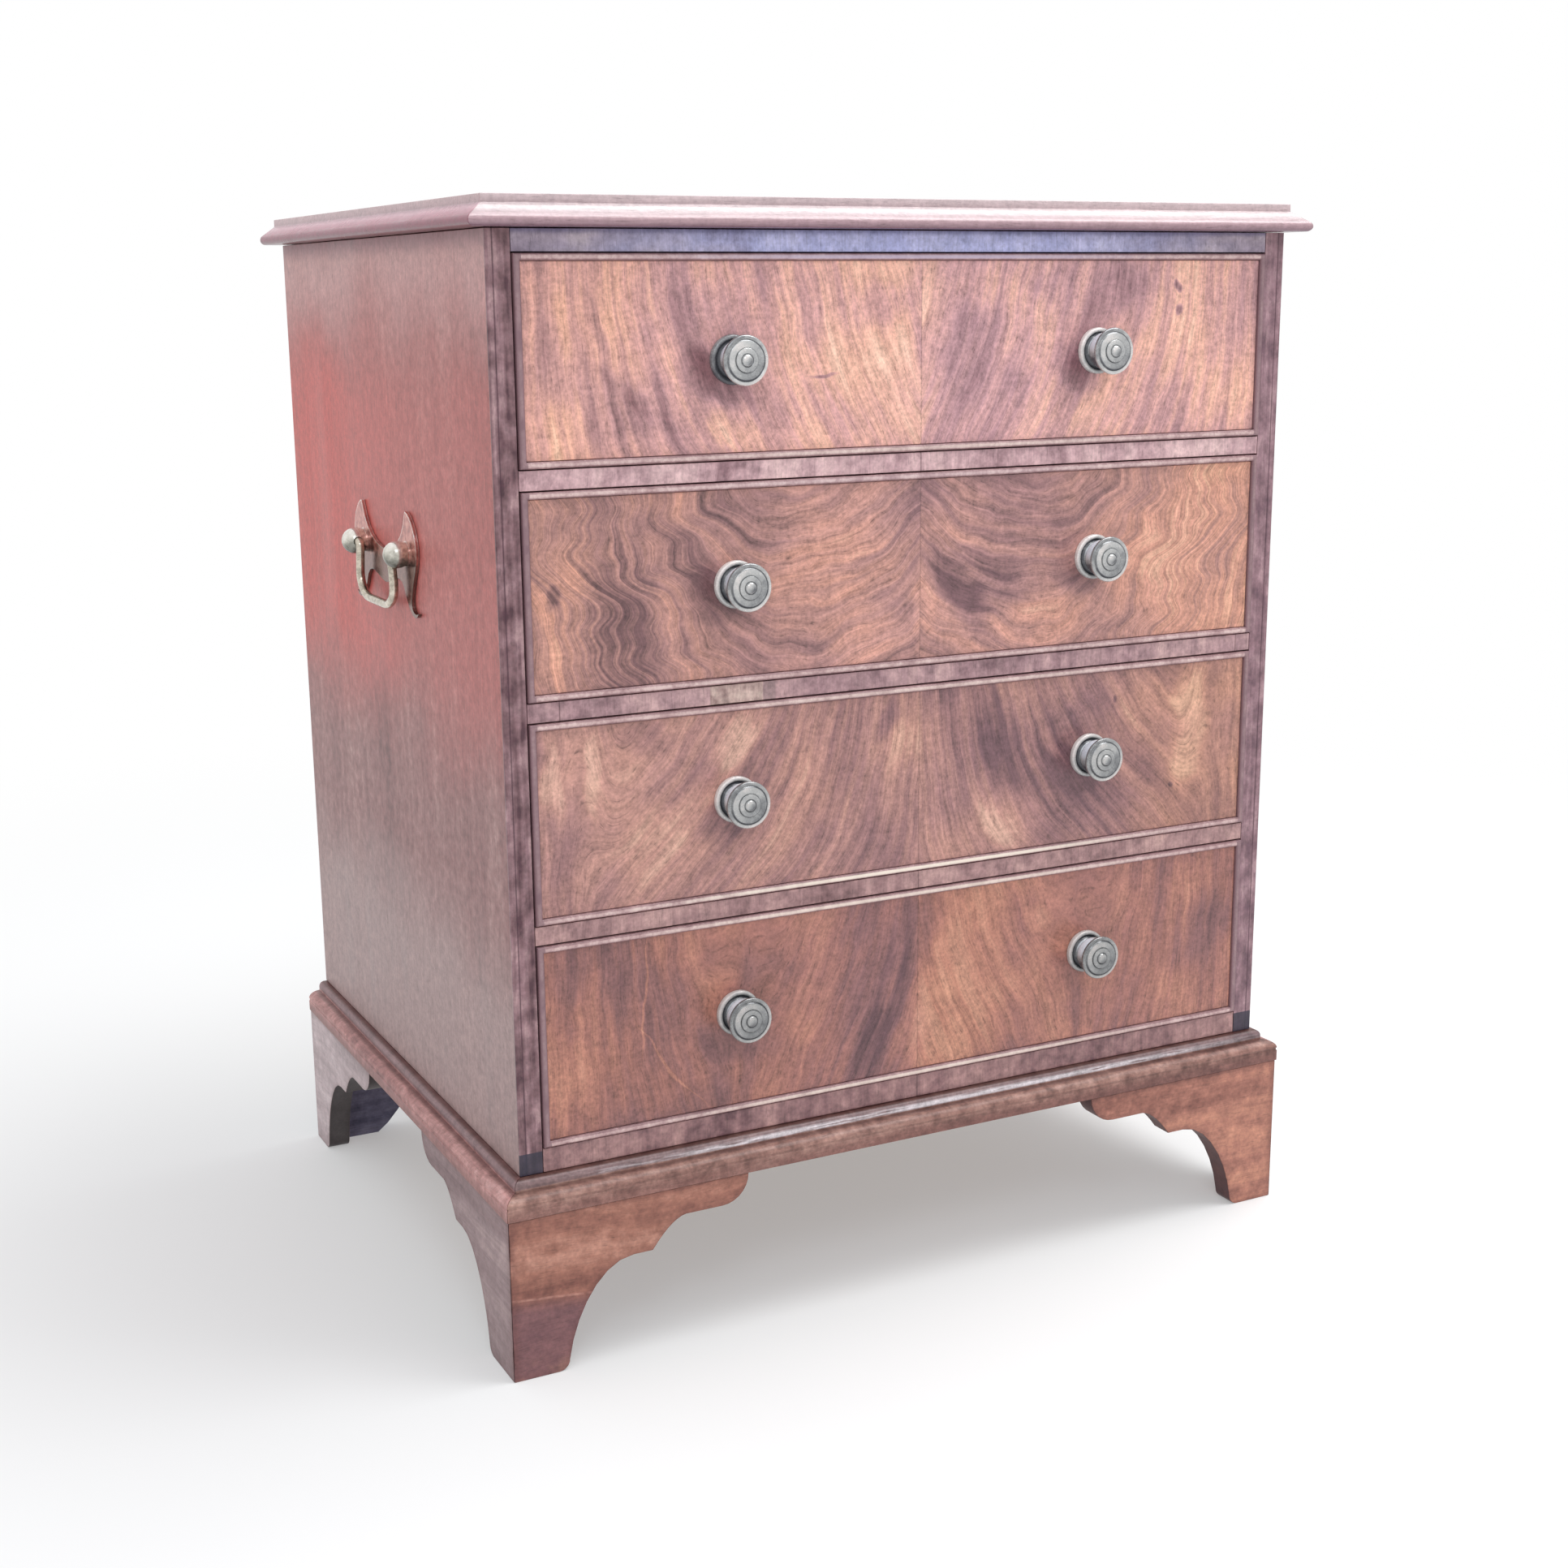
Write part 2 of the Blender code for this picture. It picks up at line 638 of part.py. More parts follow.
def build_drawer(number, floor, height, knob_mesh):
    """One drawer: beaded front, dovetailed linings, back, bottom and a pair of knobs."""
    name = f"drawer_{number}"
    low_z = floor + DRAWER_REVEAL
    high_z = low_z + height
    group = pivot(f"{name}_slide", (0, front_y, low_z + height / 2))
    low, high = (-drawer_half, low_z), (drawer_half, high_z)
    field_low, field_high = inset_box(low, high, BEAD_WIDTH + FIT)
    ledge = -front_y - BEAD_REBATE
    front_mesh = rings(
        (
            (low, high, -front_back_y),
            (low, high, ledge),
            (field_low, field_high, ledge),
            (field_low, field_high, -front_y),
        )
    )
    front = add_part(f"{name}_front", front_mesh, SEEN_FROM_FRONT, "flame_veneer", group)

    nose = -front_y + BEAD_PROUD
    section = [(BEAD_WIDTH, ledge + FIT), (0, ledge + FIT)]
    section += arc((BEAD_WIDTH / 2, nose - BEAD_ROUND), (BEAD_WIDTH / 2, BEAD_ROUND), 180, 0)
    bead_mesh = rings([(*inset_box(low, high, inset), up) for inset, up in section], closed=True)
    add_part(f"{name}_bead", bead_mesh, SEEN_FROM_FRONT, "beading", group)

    lining_low, lining_high = floor + FIT, high_z - LINING_DROP
    bottom_low = lining_low + DRAWER_BOTTOM_RISE
    bottom_high = bottom_low + DRAWER_BOTTOM_THICKNESS
    inner = drawer_half - LINING_THICKNESS
    bottom_reach = inner + DRAWER_GROOVE_DEPTH - FIT
    bottom_front = front_back_y - DRAWER_GROOVE_DEPTH + FIT
    slot = add_cutter(
        f"{name}_bottom_slot",
        *box(
            (-bottom_reach - FIT, bottom_front - FIT, bottom_low - FIT),
            (bottom_reach + FIT, drawer_rear_y + CUT_OVERRUN, bottom_high + FIT),
        ),
    )
    add_part(
        f"{name}_bottom",
        *box((-bottom_reach, bottom_front, bottom_low), (bottom_reach, drawer_rear_y, bottom_high)),
        "lining_oak",
        group,
    )
    add_part(
        f"{name}_back",
        *box(
            (FIT - inner, drawer_rear_y - DRAWER_BACK_THICKNESS, bottom_high + FIT),
            (inner - FIT, drawer_rear_y, lining_high - DRAWER_BACK_DROP),
        ),
        "lining_oak",
        group,
    )

    shoulder = front_back_y + FIT
    tip = front_back_y - TAIL_LENGTH
    tails = tail_comb(lining_low, lining_high, shoulder, tip, 0)
    sockets = tail_comb(lining_low, lining_high, shoulder + CUT_OVERRUN, tip - FIT, FIT)
    rear = [(drawer_rear_y, lining_low), (drawer_rear_y, lining_high)]
    lining = rear + [(shoulder, lining_high)] + tails + [(shoulder, lining_low)]
    spine = front_back_y + 2 * CUT_OVERRUN
    comb = [(spine, lining_low), (spine, lining_high)] + sockets
    for side, sign in (("left", -1), ("right", 1)):
        xs = sorted((sign * inner, sign * drawer_half))
        mesh, placing = prism(lining, SEEN_FROM_SIDE, *xs)
        wall = add_part(f"{name}_side_{side}", mesh, placing, "lining_oak", group)
        combine(wall, slot)
        socket_xs = sorted((sign * (inner - FIT), sign * (drawer_half + CUT_OVERRUN)))
        combine(front, add_cutter(f"{name}_sockets_{side}", *prism(comb, SEEN_FROM_SIDE, *socket_xs)))

        place = Matrix.Translation((sign * KNOB_SPREAD / 2, front_y, low_z + height / 2))
        outward = place @ Matrix.Rotation(math.pi / 2, 4, "X")
        depth = SHANK_LENGTH + 2 * FIT
        bore = add_cutter(
            f"{name}_bore_{side}",
            rod(SHANK_DIAMETER + 2 * FIT, depth + CUT_OVERRUN),
            outward @ Matrix.Translation((0, 0, (CUT_OVERRUN - depth) / 2)),
        )
        combine(front, bore)
        add_part(f"{name}_knob_{side}", knob_mesh.copy(), outward, "aged_brass", group)
    combine(front, slot)


def plate_outline():
    """The edge of a handle's back plate: (along the case from its middle, up from the pivot line)."""
    half_plate = PLATE_WIDTH / 2

    def sized(point):
        return point[0] * half_plate, point[1] * (PLATE_RISE if point[1] > 0 else PLATE_DROP)

    here = sized(PLATE_DIP_SHARE)
    half_edge = [here]
    for controls in PLATE_CURVE_SHARES:
        first, second, end = (sized(point) for point in controls)
        half_edge += bezier(here, first, second, end)
        here = end
    return half_edge + [(-u, v) for u, v in reversed(half_edge[1:-1])]


def post_profile():
    """A ball-headed post with the pin that fixes it, heights measured out from the case side."""
    ball, neck, pin = POST_BALL_DIAMETER / 2, POST_NECK_DIAMETER / 2, POST_PIN_DIAMETER / 2
    under = -math.degrees(math.acos(min(1, neck / ball)))
    head = arc((0, HANDLE_PIVOT_OFFSET), (ball, ball), 90, under, 2 * TURNED_CURVE_STEPS)
    root = FIT + PLATE_THICKNESS / 2
    return head + [(neck, root), (pin, root), (pin, -POST_PIN_LENGTH), (0, -POST_PIN_LENGTH)]


def bail_mesh():
    """The swinging bail, hanging in its own YZ plane from the pivot line."""
    end = POST_SPACING / 2
    arm = end - BAIL_ARM_INSET
    knee = arm + BAIL_FLARE
    low = knee - BAIL_KNEE_RUN
    half = [(end, 0), (arm, 0), (knee, BAIL_KNEE_RISE - BAIL_DROP), (low, -BAIL_DROP)]
    corners = half + [(-u, v) for u, v in reversed(half)]
    bends = (BAIL_BEND, BAIL_KNEE_BEND, BAIL_KNEE_BEND)
    path = rounded_path(corners, bends + bends[::-1])
    curve = bpy.data.curves.new("bail", "CURVE")
    curve.dimensions = "3D"
    curve.bevel_depth = BAIL_DIAMETER / 2
    curve.bevel_resolution = BAIL_RESOLUTION
    curve.use_fill_caps = True
    spline = curve.splines.new("POLY")
    spline.points.add(len(path) - 1)
    for point, (u, v) in zip(spline.points, path):
        point.co = (0, u, v, 1)
    bent = bpy.data.objects.new("bail", curve)
    bpy.context.scene.collection.objects.link(bent)
    return soften(baked_mesh(bent))


def build_handles():
    """A carrying handle on each side: a plate with two posts, and the bail that hangs between them."""
    post_mesh = turned(post_profile())
    hanging = bail_mesh()
    for side, sign in (("left", -1), ("right", 1)):
        name = f"handle_{side}"
        case_face = Matrix.Translation((sign * half_width, handle_y, handle_z))
        near = sign * (half_width + FIT)
        xs = sorted((near, near + sign * PLATE_THICKNESS))
        edge = [(handle_y + u, handle_z + v) for u, v in plate_outline()]
        plate = add_part(f"{name}_plate", *prism(edge, SEEN_FROM_SIDE, *xs), "aged_brass", case_group)
        outward = Matrix.Rotation(sign * math.pi / 2, 4, "Y")
        hole_length = POST_BALL_DIAMETER / 2 + CUT_OVERRUN + BAIL_END_ROOM
        for end in (-1, 1):
            along = end * POST_SPACING / 2
            post_place = case_face @ Matrix.Translation((0, along, 0)) @ outward
            combine(plate, add_cutter(f"{name}_post_{end}", post_mesh, post_place), "UNION")
            centre = along + end * (BAIL_END_ROOM - hole_length / 2)
            hole = add_cutter(
                f"{name}_eye_{end}",
                rod(BAIL_DIAMETER + 2 * FIT, hole_length),
                case_face
                @ Matrix.Translation((sign * HANDLE_PIVOT_OFFSET, centre, 0))
                @ Matrix.Rotation(math.pi / 2, 4, "X"),
            )
            combine(plate, hole)
        axis = Vector((sign * (half_width + HANDLE_PIVOT_OFFSET), handle_y, handle_z))
        swing = pivot(f"{name}_swing", axis)
        add_part(f"{name}_bail", hanging.copy(), Matrix.Translation(axis), "aged_brass", swing)


clear_scene()
parts = new_collection("chest_of_drawers")
cutters = new_collection("cutters")
case_group = pivot("case", (0, 0, 0))
opening_floors = build_case()
build_moulding()
build_feet()
turned_knob = turned(knob_profile())
for drawer, (opening, front_height) in enumerate(zip(opening_floors, drawer_heights), 1):
    build_drawer(drawer, opening, front_height, turned_knob)
build_handles()
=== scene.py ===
"""Looks of a small mahogany chest of drawers: veneers, solid timber, brass and a plain studio."""

import math

import bmesh
import bpy
from mathutils import Matrix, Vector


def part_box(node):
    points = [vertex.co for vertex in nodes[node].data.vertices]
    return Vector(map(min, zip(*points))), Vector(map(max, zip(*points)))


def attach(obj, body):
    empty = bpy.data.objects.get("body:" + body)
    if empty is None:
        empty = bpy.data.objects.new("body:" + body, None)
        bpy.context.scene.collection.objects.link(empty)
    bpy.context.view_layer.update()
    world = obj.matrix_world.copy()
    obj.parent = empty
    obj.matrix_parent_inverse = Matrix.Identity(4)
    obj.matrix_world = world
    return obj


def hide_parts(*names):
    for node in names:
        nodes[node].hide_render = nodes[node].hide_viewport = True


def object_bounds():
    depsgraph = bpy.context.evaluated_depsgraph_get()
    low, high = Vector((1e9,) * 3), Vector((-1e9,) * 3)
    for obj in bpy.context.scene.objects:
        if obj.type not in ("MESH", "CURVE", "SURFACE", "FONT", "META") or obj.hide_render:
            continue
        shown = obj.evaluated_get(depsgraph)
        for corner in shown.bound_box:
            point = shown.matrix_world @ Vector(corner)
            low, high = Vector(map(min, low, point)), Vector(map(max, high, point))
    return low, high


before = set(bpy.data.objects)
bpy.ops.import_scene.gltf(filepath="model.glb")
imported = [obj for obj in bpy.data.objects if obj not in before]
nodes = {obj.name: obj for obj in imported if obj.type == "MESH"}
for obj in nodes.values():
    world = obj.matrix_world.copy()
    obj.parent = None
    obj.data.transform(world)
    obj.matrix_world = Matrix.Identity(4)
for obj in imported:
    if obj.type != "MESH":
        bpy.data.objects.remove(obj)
cad_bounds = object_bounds()

# The photograph's camera, in metres and degrees: heading from +Y towards +X, tilt above the level
CAMERA_PLACE = (-0.7592, -1.50145, 0.7195)
CAMERA_HEADING = 27.1955
CAMERA_TILT = -13.0314
CAMERA_ROLL = -0.4742
LENS_MM = 48.75
SENSOR_MM = 36.0

# Lamps, sky and floor
SKY_STRENGTH = 0.82
SKY_COLOUR = (0.96, 0.98, 1.0)
SOFTBOX_PLACE = (0.85, -0.35, 2.5)
SOFTBOX_SIZE = 1.6
SOFTBOX_POWER = 50.0
SOFTBOX_COLOUR = (1.0, 1.0, 1.0)
WINDOW_PLACE = (-1.0, -2.1, 2.2)  # its cool light glints on the brass
WINDOW_SIZE = 0.7
WINDOW_POWER = 8.0
WINDOW_COLOUR = (0.86, 0.93, 1.0)
FLOOR_SIZE = 12.0
FLOOR_COLOUR = (0.84, 0.84, 0.84)
FLOOR_FADE = (0.5, 2.0)  # from the middle out, the floor goes over to the plain white ground
FLOOR_GLOW = 0.3  # the ground's share near the chest, so that its shadow stays light

# Places read from the frame
side_low, side_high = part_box("side_left")
front_y = side_low.y
case_foot, case_head = side_low.z, side_high.z
case_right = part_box("side_right")[1].x
moulding_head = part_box("base_moulding_front")[1].z
top_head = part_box("top_board")[1].z
DRAWERS = (1, 2, 3, 4)
SIDES = ("left", "right")

# Softened arrises
ARRIS = 0.0006
FINE_ARRIS = ARRIS / 2
SMOOTH_ANGLE = math.radians(38)
WELD_REACH = 1e-5
FLAT_ANGLE = math.radians(0.6)

# Turned knob: radii, and heights above the drawer's face
KNOB_RADIUS = 0.0163
KNOB_HEIGHT = 0.025
BOSS_RADIUS = 0.0042
BOSS_DOME = (0.0038, 0.0016)  # half width and rise
RING_RADIUS = 0.0079
INNER_RING = (0.0021, 0.0005)  # its foot below the knob's head, and its rise
QUIRK_RADIUS = 0.0128  # the hollow inside the rim
OUTER_RING = (0.0030, 0.0006)
RIM_ROUND = 0.0016
RIM_DEPTH = 0.0048  # its middle below the knob's head
BULB_PLACE = (0.0065, 0.0115)
BULB_RADII = (0.0067, 0.0072)
BODY_HEAD = 0.0168  # the bulb between rose and rim ends here
ROSE_RADIUS = 0.0162
ROSE_INNER = 0.0126
ROSE_FOOT = 0.0020
ROSE_RISE = 0.0019
ROSE_HEAD = 0.0042
ROSE_GAP = 0.0003  # between the rose's back and the drawer's face
TURN_STEPS = 72
TURN_WELD = 1e-6
KNOB_SHIFTS = {  # how far a turned knob stands to the right of and above its CAD place
    (1, "left"): (0.0024, -0.0013),
    (1, "right"): (-0.001, -0.001),
    (2, "left"): (0.003, -0.0005),
    (3, "left"): (0.0007, 0.0018),
    (3, "right"): (0.0, 0.0017),
    (4, "left"): (0.0, 0.0016),
    (4, "right"): (0.001, 0.002),
}

# Share of white that a surface's polish adds to its colour
POLISH = 0.045
SIDE_SHEEN = 0.09
RETURN_SHEEN = 0.08
NO_SHEEN = 0.0
DARKEST = 0.004

RELIEF = 0.0003  # depth of grain and tarnish in the surface
GLOSS = 0.5


def paint(red, green, blue, sheen=POLISH):
    """A colour as the eye sees it (0 to 255), less the share of white that the polish adds to it."""

    def linear(value):
        """A screen value as light."""
        share = value / 255
        return share / 12.92 if share <= 0.04045 else ((share + 0.055) / 1.055) ** 2.4

    return tuple(max(linear(value) - sheen, DARKEST) for value in (red, green, blue)) + (1.0,)


# Shader nodes, written as sums
class Field:
    """One number that varies over a surface: a shader node's output that can be reckoned with."""

    def __init__(self, graph, socket):
        self.graph = graph
        self.socket = socket

    def __add__(self, other):
        return self.graph.math("ADD", self, other)

    def __sub__(self, other):
        return self.graph.math("SUBTRACT", self, other)

    def __rsub__(self, other):
        return self.graph.math("SUBTRACT", other, self)

    def __mul__(self, other):
        return self.graph.math("MULTIPLY", self, other)

    def __truediv__(self, other):
        return self.graph.math("DIVIDE", self, other)

    __radd__ = __add__
    __rmul__ = __mul__

    def size(self):
        """Its distance from 0."""
        return self.graph.math("ABSOLUTE", self)

    def sign(self):
        """-1 below 0 and 1 above."""
        return self.graph.math("SIGN", self)

    def most(self, other):
        """The larger of the two."""
        return self.graph.math("MAXIMUM", self, other)

    def rise(self, low, high):
        """0 below low, 1 above high, smooth between; where low is the larger, it falls instead."""
        node = self.graph.add("MapRange", interpolation_type="SMOOTHSTEP")
        self.graph.feed(node.inputs["Value"], self)
        node.inputs["From Min"].default_value = min(low, high)
        node.inputs["From Max"].default_value = max(low, high)
        node.inputs["To Min"].default_value = float(low > high)
        node.inputs["To Max"].default_value = float(low < high)
        return Field(self.graph, node.outputs["Result"])

    def between(self, low, high, soft):
        """1 from low to high, falling to 0 over soft on either side."""
        return self.rise(low - soft, low + soft) * self.rise(high + soft, high - soft)

    def near(self, middle, soft):
        """1 at the middle, falling to 0 at twice soft on either side."""
        return self.between(middle - soft, middle + soft, soft)


class Graph:
    """The shader nodes of one material."""

    def __init__(self, name, **surface):
        self.material = bpy.data.materials.new(name)
        self.material.use_nodes = True
        self.tree = self.material.node_tree
        self.surface = self.tree.nodes["Principled BSDF"]
        for socket, value in surface.items():
            self.surface.inputs[socket.replace("_", " ")].default_value = value

    def add(self, kind, **settings):
        """A new shader node."""
        node = self.tree.nodes.new("ShaderNode" + kind)
        for name, value in settings.items():
            setattr(node, name, value)
        return node

    def feed(self, socket, value):
        """Joins a field or a socket to an input, or sets the input to a plain value."""
        if isinstance(value, Field):
            value = value.socket
        if isinstance(value, bpy.types.NodeSocket):
            self.tree.links.new(value, socket)
        else:
            socket.default_value = value

    def math(self, operation, *values):
        """A sum of fields and numbers."""
        node = self.add("Math", operation=operation)
        for socket, value in zip(node.inputs, values):
            self.feed(socket, value)
        return Field(self, node.outputs[0])

    def place(self):
        """The row-frame x, y and z of a CAD node's surface, or a turned piece's own ones."""
        split = self.add("SeparateXYZ")
        self.feed(split.inputs[0], self.add("TexCoord").outputs["Object"])
        return [Field(self, output) for output in split.outputs]

    def noise(self, x, y, z, detail=2.0, roughness=0.5):
        """Smooth noise about 0, seldom beyond half a unit either way."""
        joined = self.add("CombineXYZ")
        for socket, value in zip(joined.inputs, (x, y, z)):
            self.feed(socket, value)
        node = self.add("TexNoise", noise_dimensions="3D")
        self.feed(node.inputs["Vector"], joined.outputs[0])
        node.inputs["Scale"].default_value = 1.0
        node.inputs["Detail"].default_value = detail
        node.inputs["Roughness"].default_value = roughness
        return Field(self, node.outputs[0]) * 2.0 - 1.0

    def spots(self, place, scale, detail=2.0, roughness=0.5):
        """Noise alike in every direction, with so many waves to the metre."""
        x, y, z = place
        return self.noise(x * scale, y * scale, z * scale, detail, roughness)

    def curve(self, field, points):
        """A smooth curve through (place, value) points, read at the field."""
        places, values = zip(*points)
        low, high = min(values), max(values)
        run = places[-1] - places[0]
        node = self.add("FloatCurve")
        line = node.mapping.curves[0]
        while len(line.points) < len(points):
            line.points.new(0.5, 0.5)
        for point, (place, value) in zip(line.points, points):
            point.location = ((place - places[0]) / run, (value - low) / (high - low))
        node.mapping.update()
        self.feed(node.inputs["Value"], (field - places[0]) / run)
        return Field(self, node.outputs[0]) * (high - low) + low

    def ramp(self, field, stops):
        """Colours along a field: (place, colour) stops."""
        node = self.add("ValToRGB")
        band = node.color_ramp
        while len(band.elements) < len(stops):
            band.elements.new(0.5)
        for element, (place, colour) in zip(band.elements, stops):
            element.position = place
            element.color = colour
        self.feed(node.inputs[0], field)
        return node.outputs["Color"]

    def mix(self, amount, first, second, blend="MIX"):
        """The first colour, going over to the second by the amount."""
        node = self.add("Mix", data_type="RGBA", blend_type=blend)
        factor, colours, result = node.inputs[0], node.inputs[6:8], node.outputs[2]
        self.feed(factor, amount)
        self.feed(colours[0], first)
        self.feed(colours[1], second)
        return result

    def arris(self, radius):
        """1 along edges and corners within the radius, 0 on the flats."""
        rounded = self.add("Bevel", samples=4)
        rounded.inputs["Radius"].default_value = radius
        product = self.add("VectorMath", operation="DOT_PRODUCT")
        self.feed(product.inputs[0], rounded.outputs[0])
        self.feed(product.inputs[1], self.add("NewGeometry").outputs["Normal"])
        return Field(self, product.outputs["Value"]).rise(0.99, 0.82)

    def finish(self, colour, roughness, height, strength, depth=RELIEF):
        """Joins the colour, the roughness and the relief to the surface."""
        self.feed(self.surface.inputs["Base Color"], colour)
        self.feed(self.surface.inputs["Roughness"], roughness)
        bump = self.add("Bump")
        bump.inputs["Distance"].default_value = depth
        bump.inputs["Strength"].default_value = strength
        self.feed(bump.inputs["Height"], height)
        self.feed(self.surface.inputs["Normal"], bump.outputs[0])
        return self.material


def hues(*tones):
    """Evenly spaced stops from a veneer's darkest tone to its palest."""
    first, last = 0.1, 0.9
    step = (last - first) / (len(tones) - 1)
    return [(first + step * i, paint(*tone)) for i, tone in enumerate(tones)]


def stops(dark, mid, light, pale, sheen=POLISH):
    """A ramp of four tones from dark to pale."""
    tones = (dark, mid, light, pale)
    return [(place, paint(*tone, sheen)) for place, tone in zip((0.14, 0.44, 0.64, 0.9), tones)]


# Veneered drawer fronts: book-matched about the middle
WARM_TINT = (1.0, 0.93, 0.75, 1.0)
SEAM = (0.0008, 0.0002)  # a middle joint's dark line fades in between these distances
BOWLS_END = (0.13, 0.2)  # from here out, hanging bowls turn into upright streaks
LEAF_SHIFT = 0.12  # the two leaves of a drawer differ a little
DRAWER_SHIFT = 7.0
PATCH_FADE = 1.8
PATCH_PULL = 0.75
KNOB_SHADOW_SHIFT = 0.013  # painted shadow of a knob: from the knob's middle to the left and down
KNOB_SHADOW_SHAPE = (0.02, 0.017, -0.4, -0.3)  # the painted shadow's half width, half height, slant and strength


def fan_figure(leans, bend):
    """Streaks that lean towards the middle at the top or at the foot: lean by distance from the seam."""

    def figure(graph, out, up):
        lean = graph.curve(out, leans)
        return out - lean * (up - up * up / bend), up

    return figure


def bowl_figure(bowls):
    """Streaks that hang in bowls on each side of the seam and turn upright at the ends."""

    def figure(graph, out, up):
        upright = out.rise(*BOWLS_END)
        along = out * (1.0 - upright) + up * upright
        sway = graph.noise(out * 8.0, up * 28.0, 5.0, 1.0) * upright * 0.08
        return up + graph.curve(out, bowls) + sway, along

    return figure


def veneer(number, figure, colours, shades, warmth, wave, lines, patches):
    """A drawer front's flame veneer: its hue drifts in flames and patches, its fibres vary only in depth.

    Shades lighten or darken it from left to right, and warmth makes it more orange. A patch is its middle
    (x, z), half width, half height, slant and strength, lighter and more orange where positive.
    """
    graph = Graph(f"veneer_{number}", Specular_IOR_Level=GLOSS)
    x, y, z = graph.place()
    out = x.size()
    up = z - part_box(f"drawer_{number}_front")[0].z
    leaf = x.sign() * LEAF_SHIFT + number * DRAWER_SHIFT
    across, along = figure(graph, out, up)
    across += graph.noise(out * 14.0, up * 14.0, leaf, 1.0) * wave
    across += graph.noise(out * 45.0, up * 45.0, leaf, 1.0) * (wave * 0.3)

    def grain(seed, fine, long, detail=2.0, roughness=0.6):
        """Noise drawn out along the figure: so many waves to the metre across it and along it."""
        return graph.noise(across * fine, along * long, leaf + seed, detail, roughness)

    flame = grain(0.0, 30.0, 5.0, roughness=0.5)
    band = grain(3.0, 110.0, 9.0, roughness=0.5)
    streak = grain(5.0, 330.0, 18.0)
    rib = grain(7.0, 150.0, 16.0)
    fibre = grain(9.0, 800.0, 50.0)
    pale = 1.0 - grain(11.0, 62.0, 6.0, 1.0, 0.5).size() * 16.0
    dark = 1.0 - grain(11.6, 62.0, 6.0, 1.0, 0.5).size() * 14.0
    pores = grain(17.0, 1500.0, 170.0, 1.0, 0.5).rise(0.16, 0.5)
    cloud = graph.noise(x * 16.0, z * 16.0, leaf + 13.0)
    speckle = graph.noise(x * 380.0, 0.0, z * 380.0, 2.0, 0.7)
    mottle = graph.noise(x * 130.0, 0.0, z * 130.0, 2.0, 0.6)

    hue = flame * 0.38 + band * 0.38 + cloud * 0.38 + graph.curve(x, shades) + 0.48
    drift_x = x + cloud * 0.02
    drift_z = z + flame * 0.018
    # each knob's painted shadow is added to the veneer's patches
    for place_x, place_z, wide, tall, slant, strength in patches + knob_painted_shadows(number):
        level = drift_z - place_z
        over = ((drift_x - place_x) - level * slant) / wide
        rise = level / tall
        hue = hue + (over * over + rise * rise).rise(PATCH_FADE, 0.0) * (strength * PATCH_PULL)
    depth = 1.03 + streak * 0.36 + fibre * 0.3 + rib * 0.24 + speckle * 0.52 + mottle * 0.42 - pores * 0.34
    depth = depth + (pale.most(0.0) - dark.most(0.0)) * lines - out.rise(*SEAM) * 0.25
    colour = graph.mix(1.0, graph.ramp(hue, colours), depth, "MULTIPLY")
    colour = graph.mix(graph.curve(x, warmth) + cloud * 0.35, colour, WARM_TINT, "MULTIPLY")
    roughness = 0.33 + cloud * 0.12 + streak * 0.06
    return graph.finish(colour, roughness, streak * 0.5 + fibre - pores, 0.14)


def knob_painted_shadows(number):
    """Painted shadows of a drawer's knobs: darker patches beside and below them."""
    patches = ()
    for side in SIDES:
        low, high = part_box(f"drawer_{number}_knob_{side}")
        middle = (low + high) / 2
        patches += ((middle.x - KNOB_SHADOW_SHIFT, middle.z - KNOB_SHADOW_SHIFT) + KNOB_SHADOW_SHAPE,)
    return patches


# Solid timber
WORN_REACH = 0.0016  # how far a rubbed arris reaches over the flats


def timber(name, grain, tones, sheen=POLISH, rough=0.42, worn=None, over=None, specular=GLOSS, lines=1.0,
           mottled=0.18):
    """Solid wood with its grain along one axis, more or less lined or mottled; over() may paint marks."""
    graph = Graph(name, Specular_IOR_Level=specular)
    place = graph.place()
    along = place["XYZ".index(grain)]
    bend = graph.spots(place, 7.0, 1.0) * 0.012
    first, second = [field + bend for letter, field in zip("XYZ", place) if letter != grain]

    def drawn(fine, long, detail=2.0, roughness=0.5):
        """Noise drawn out along the grain: so many waves to the metre across it and along it."""
        return graph.noise(first * fine, second * fine, along * long, detail, roughness)

    flame = drawn(20.0, 2.2)
    band = drawn(90.0, 4.0)
    fibre = drawn(520.0, 16.0, 2.0, 0.6)
    pores = drawn(1300.0, 110.0, 1.0).rise(0.16, 0.5)
    speckle = graph.spots(place, 360.0, 2.0, 0.7)
    mottle = graph.spots(place, 110.0, 2.0, 0.6)
    colour = graph.ramp(0.5 + (flame * 0.5 + band * 0.3) * lines + mottle * mottled, stops(*tones, sheen))
    if over is not None:
        colour = over(graph, colour, place)
    depth = 1.0 + fibre * (0.26 * lines) + (speckle * 1.4 + mottle) * mottled - pores * 0.22
    colour = graph.mix(1.0, colour, depth, "MULTIPLY")
    if worn is not None:
        patch = graph.spots(place, 60.0).rise(-0.25, 0.35)
        colour = graph.mix(graph.arris(WORN_REACH) * patch, colour, paint(*worn, sheen))
    return graph.finish(colour, rough + flame * 0.1 + band * 0.06, fibre - pores, 0.15)


# Cock beads
BEAD_TONES = ((130, 103, 106), (160, 129, 131), (188, 157, 157), (222, 196, 192))
BEAD_END_TONE = (138, 112, 118)
BEAD_CROWN = 0.0005  # a bead's paler part, back from its crown: rubbed, and painted as a highlight
BEAD_RUN = 0.005  # a little more than a bead's width
BEAD_MITRE = 0.0002  # how softly its runs part
BLEACHED = (0.24, 0.06)  # a bleached run fades between these distances from the middle


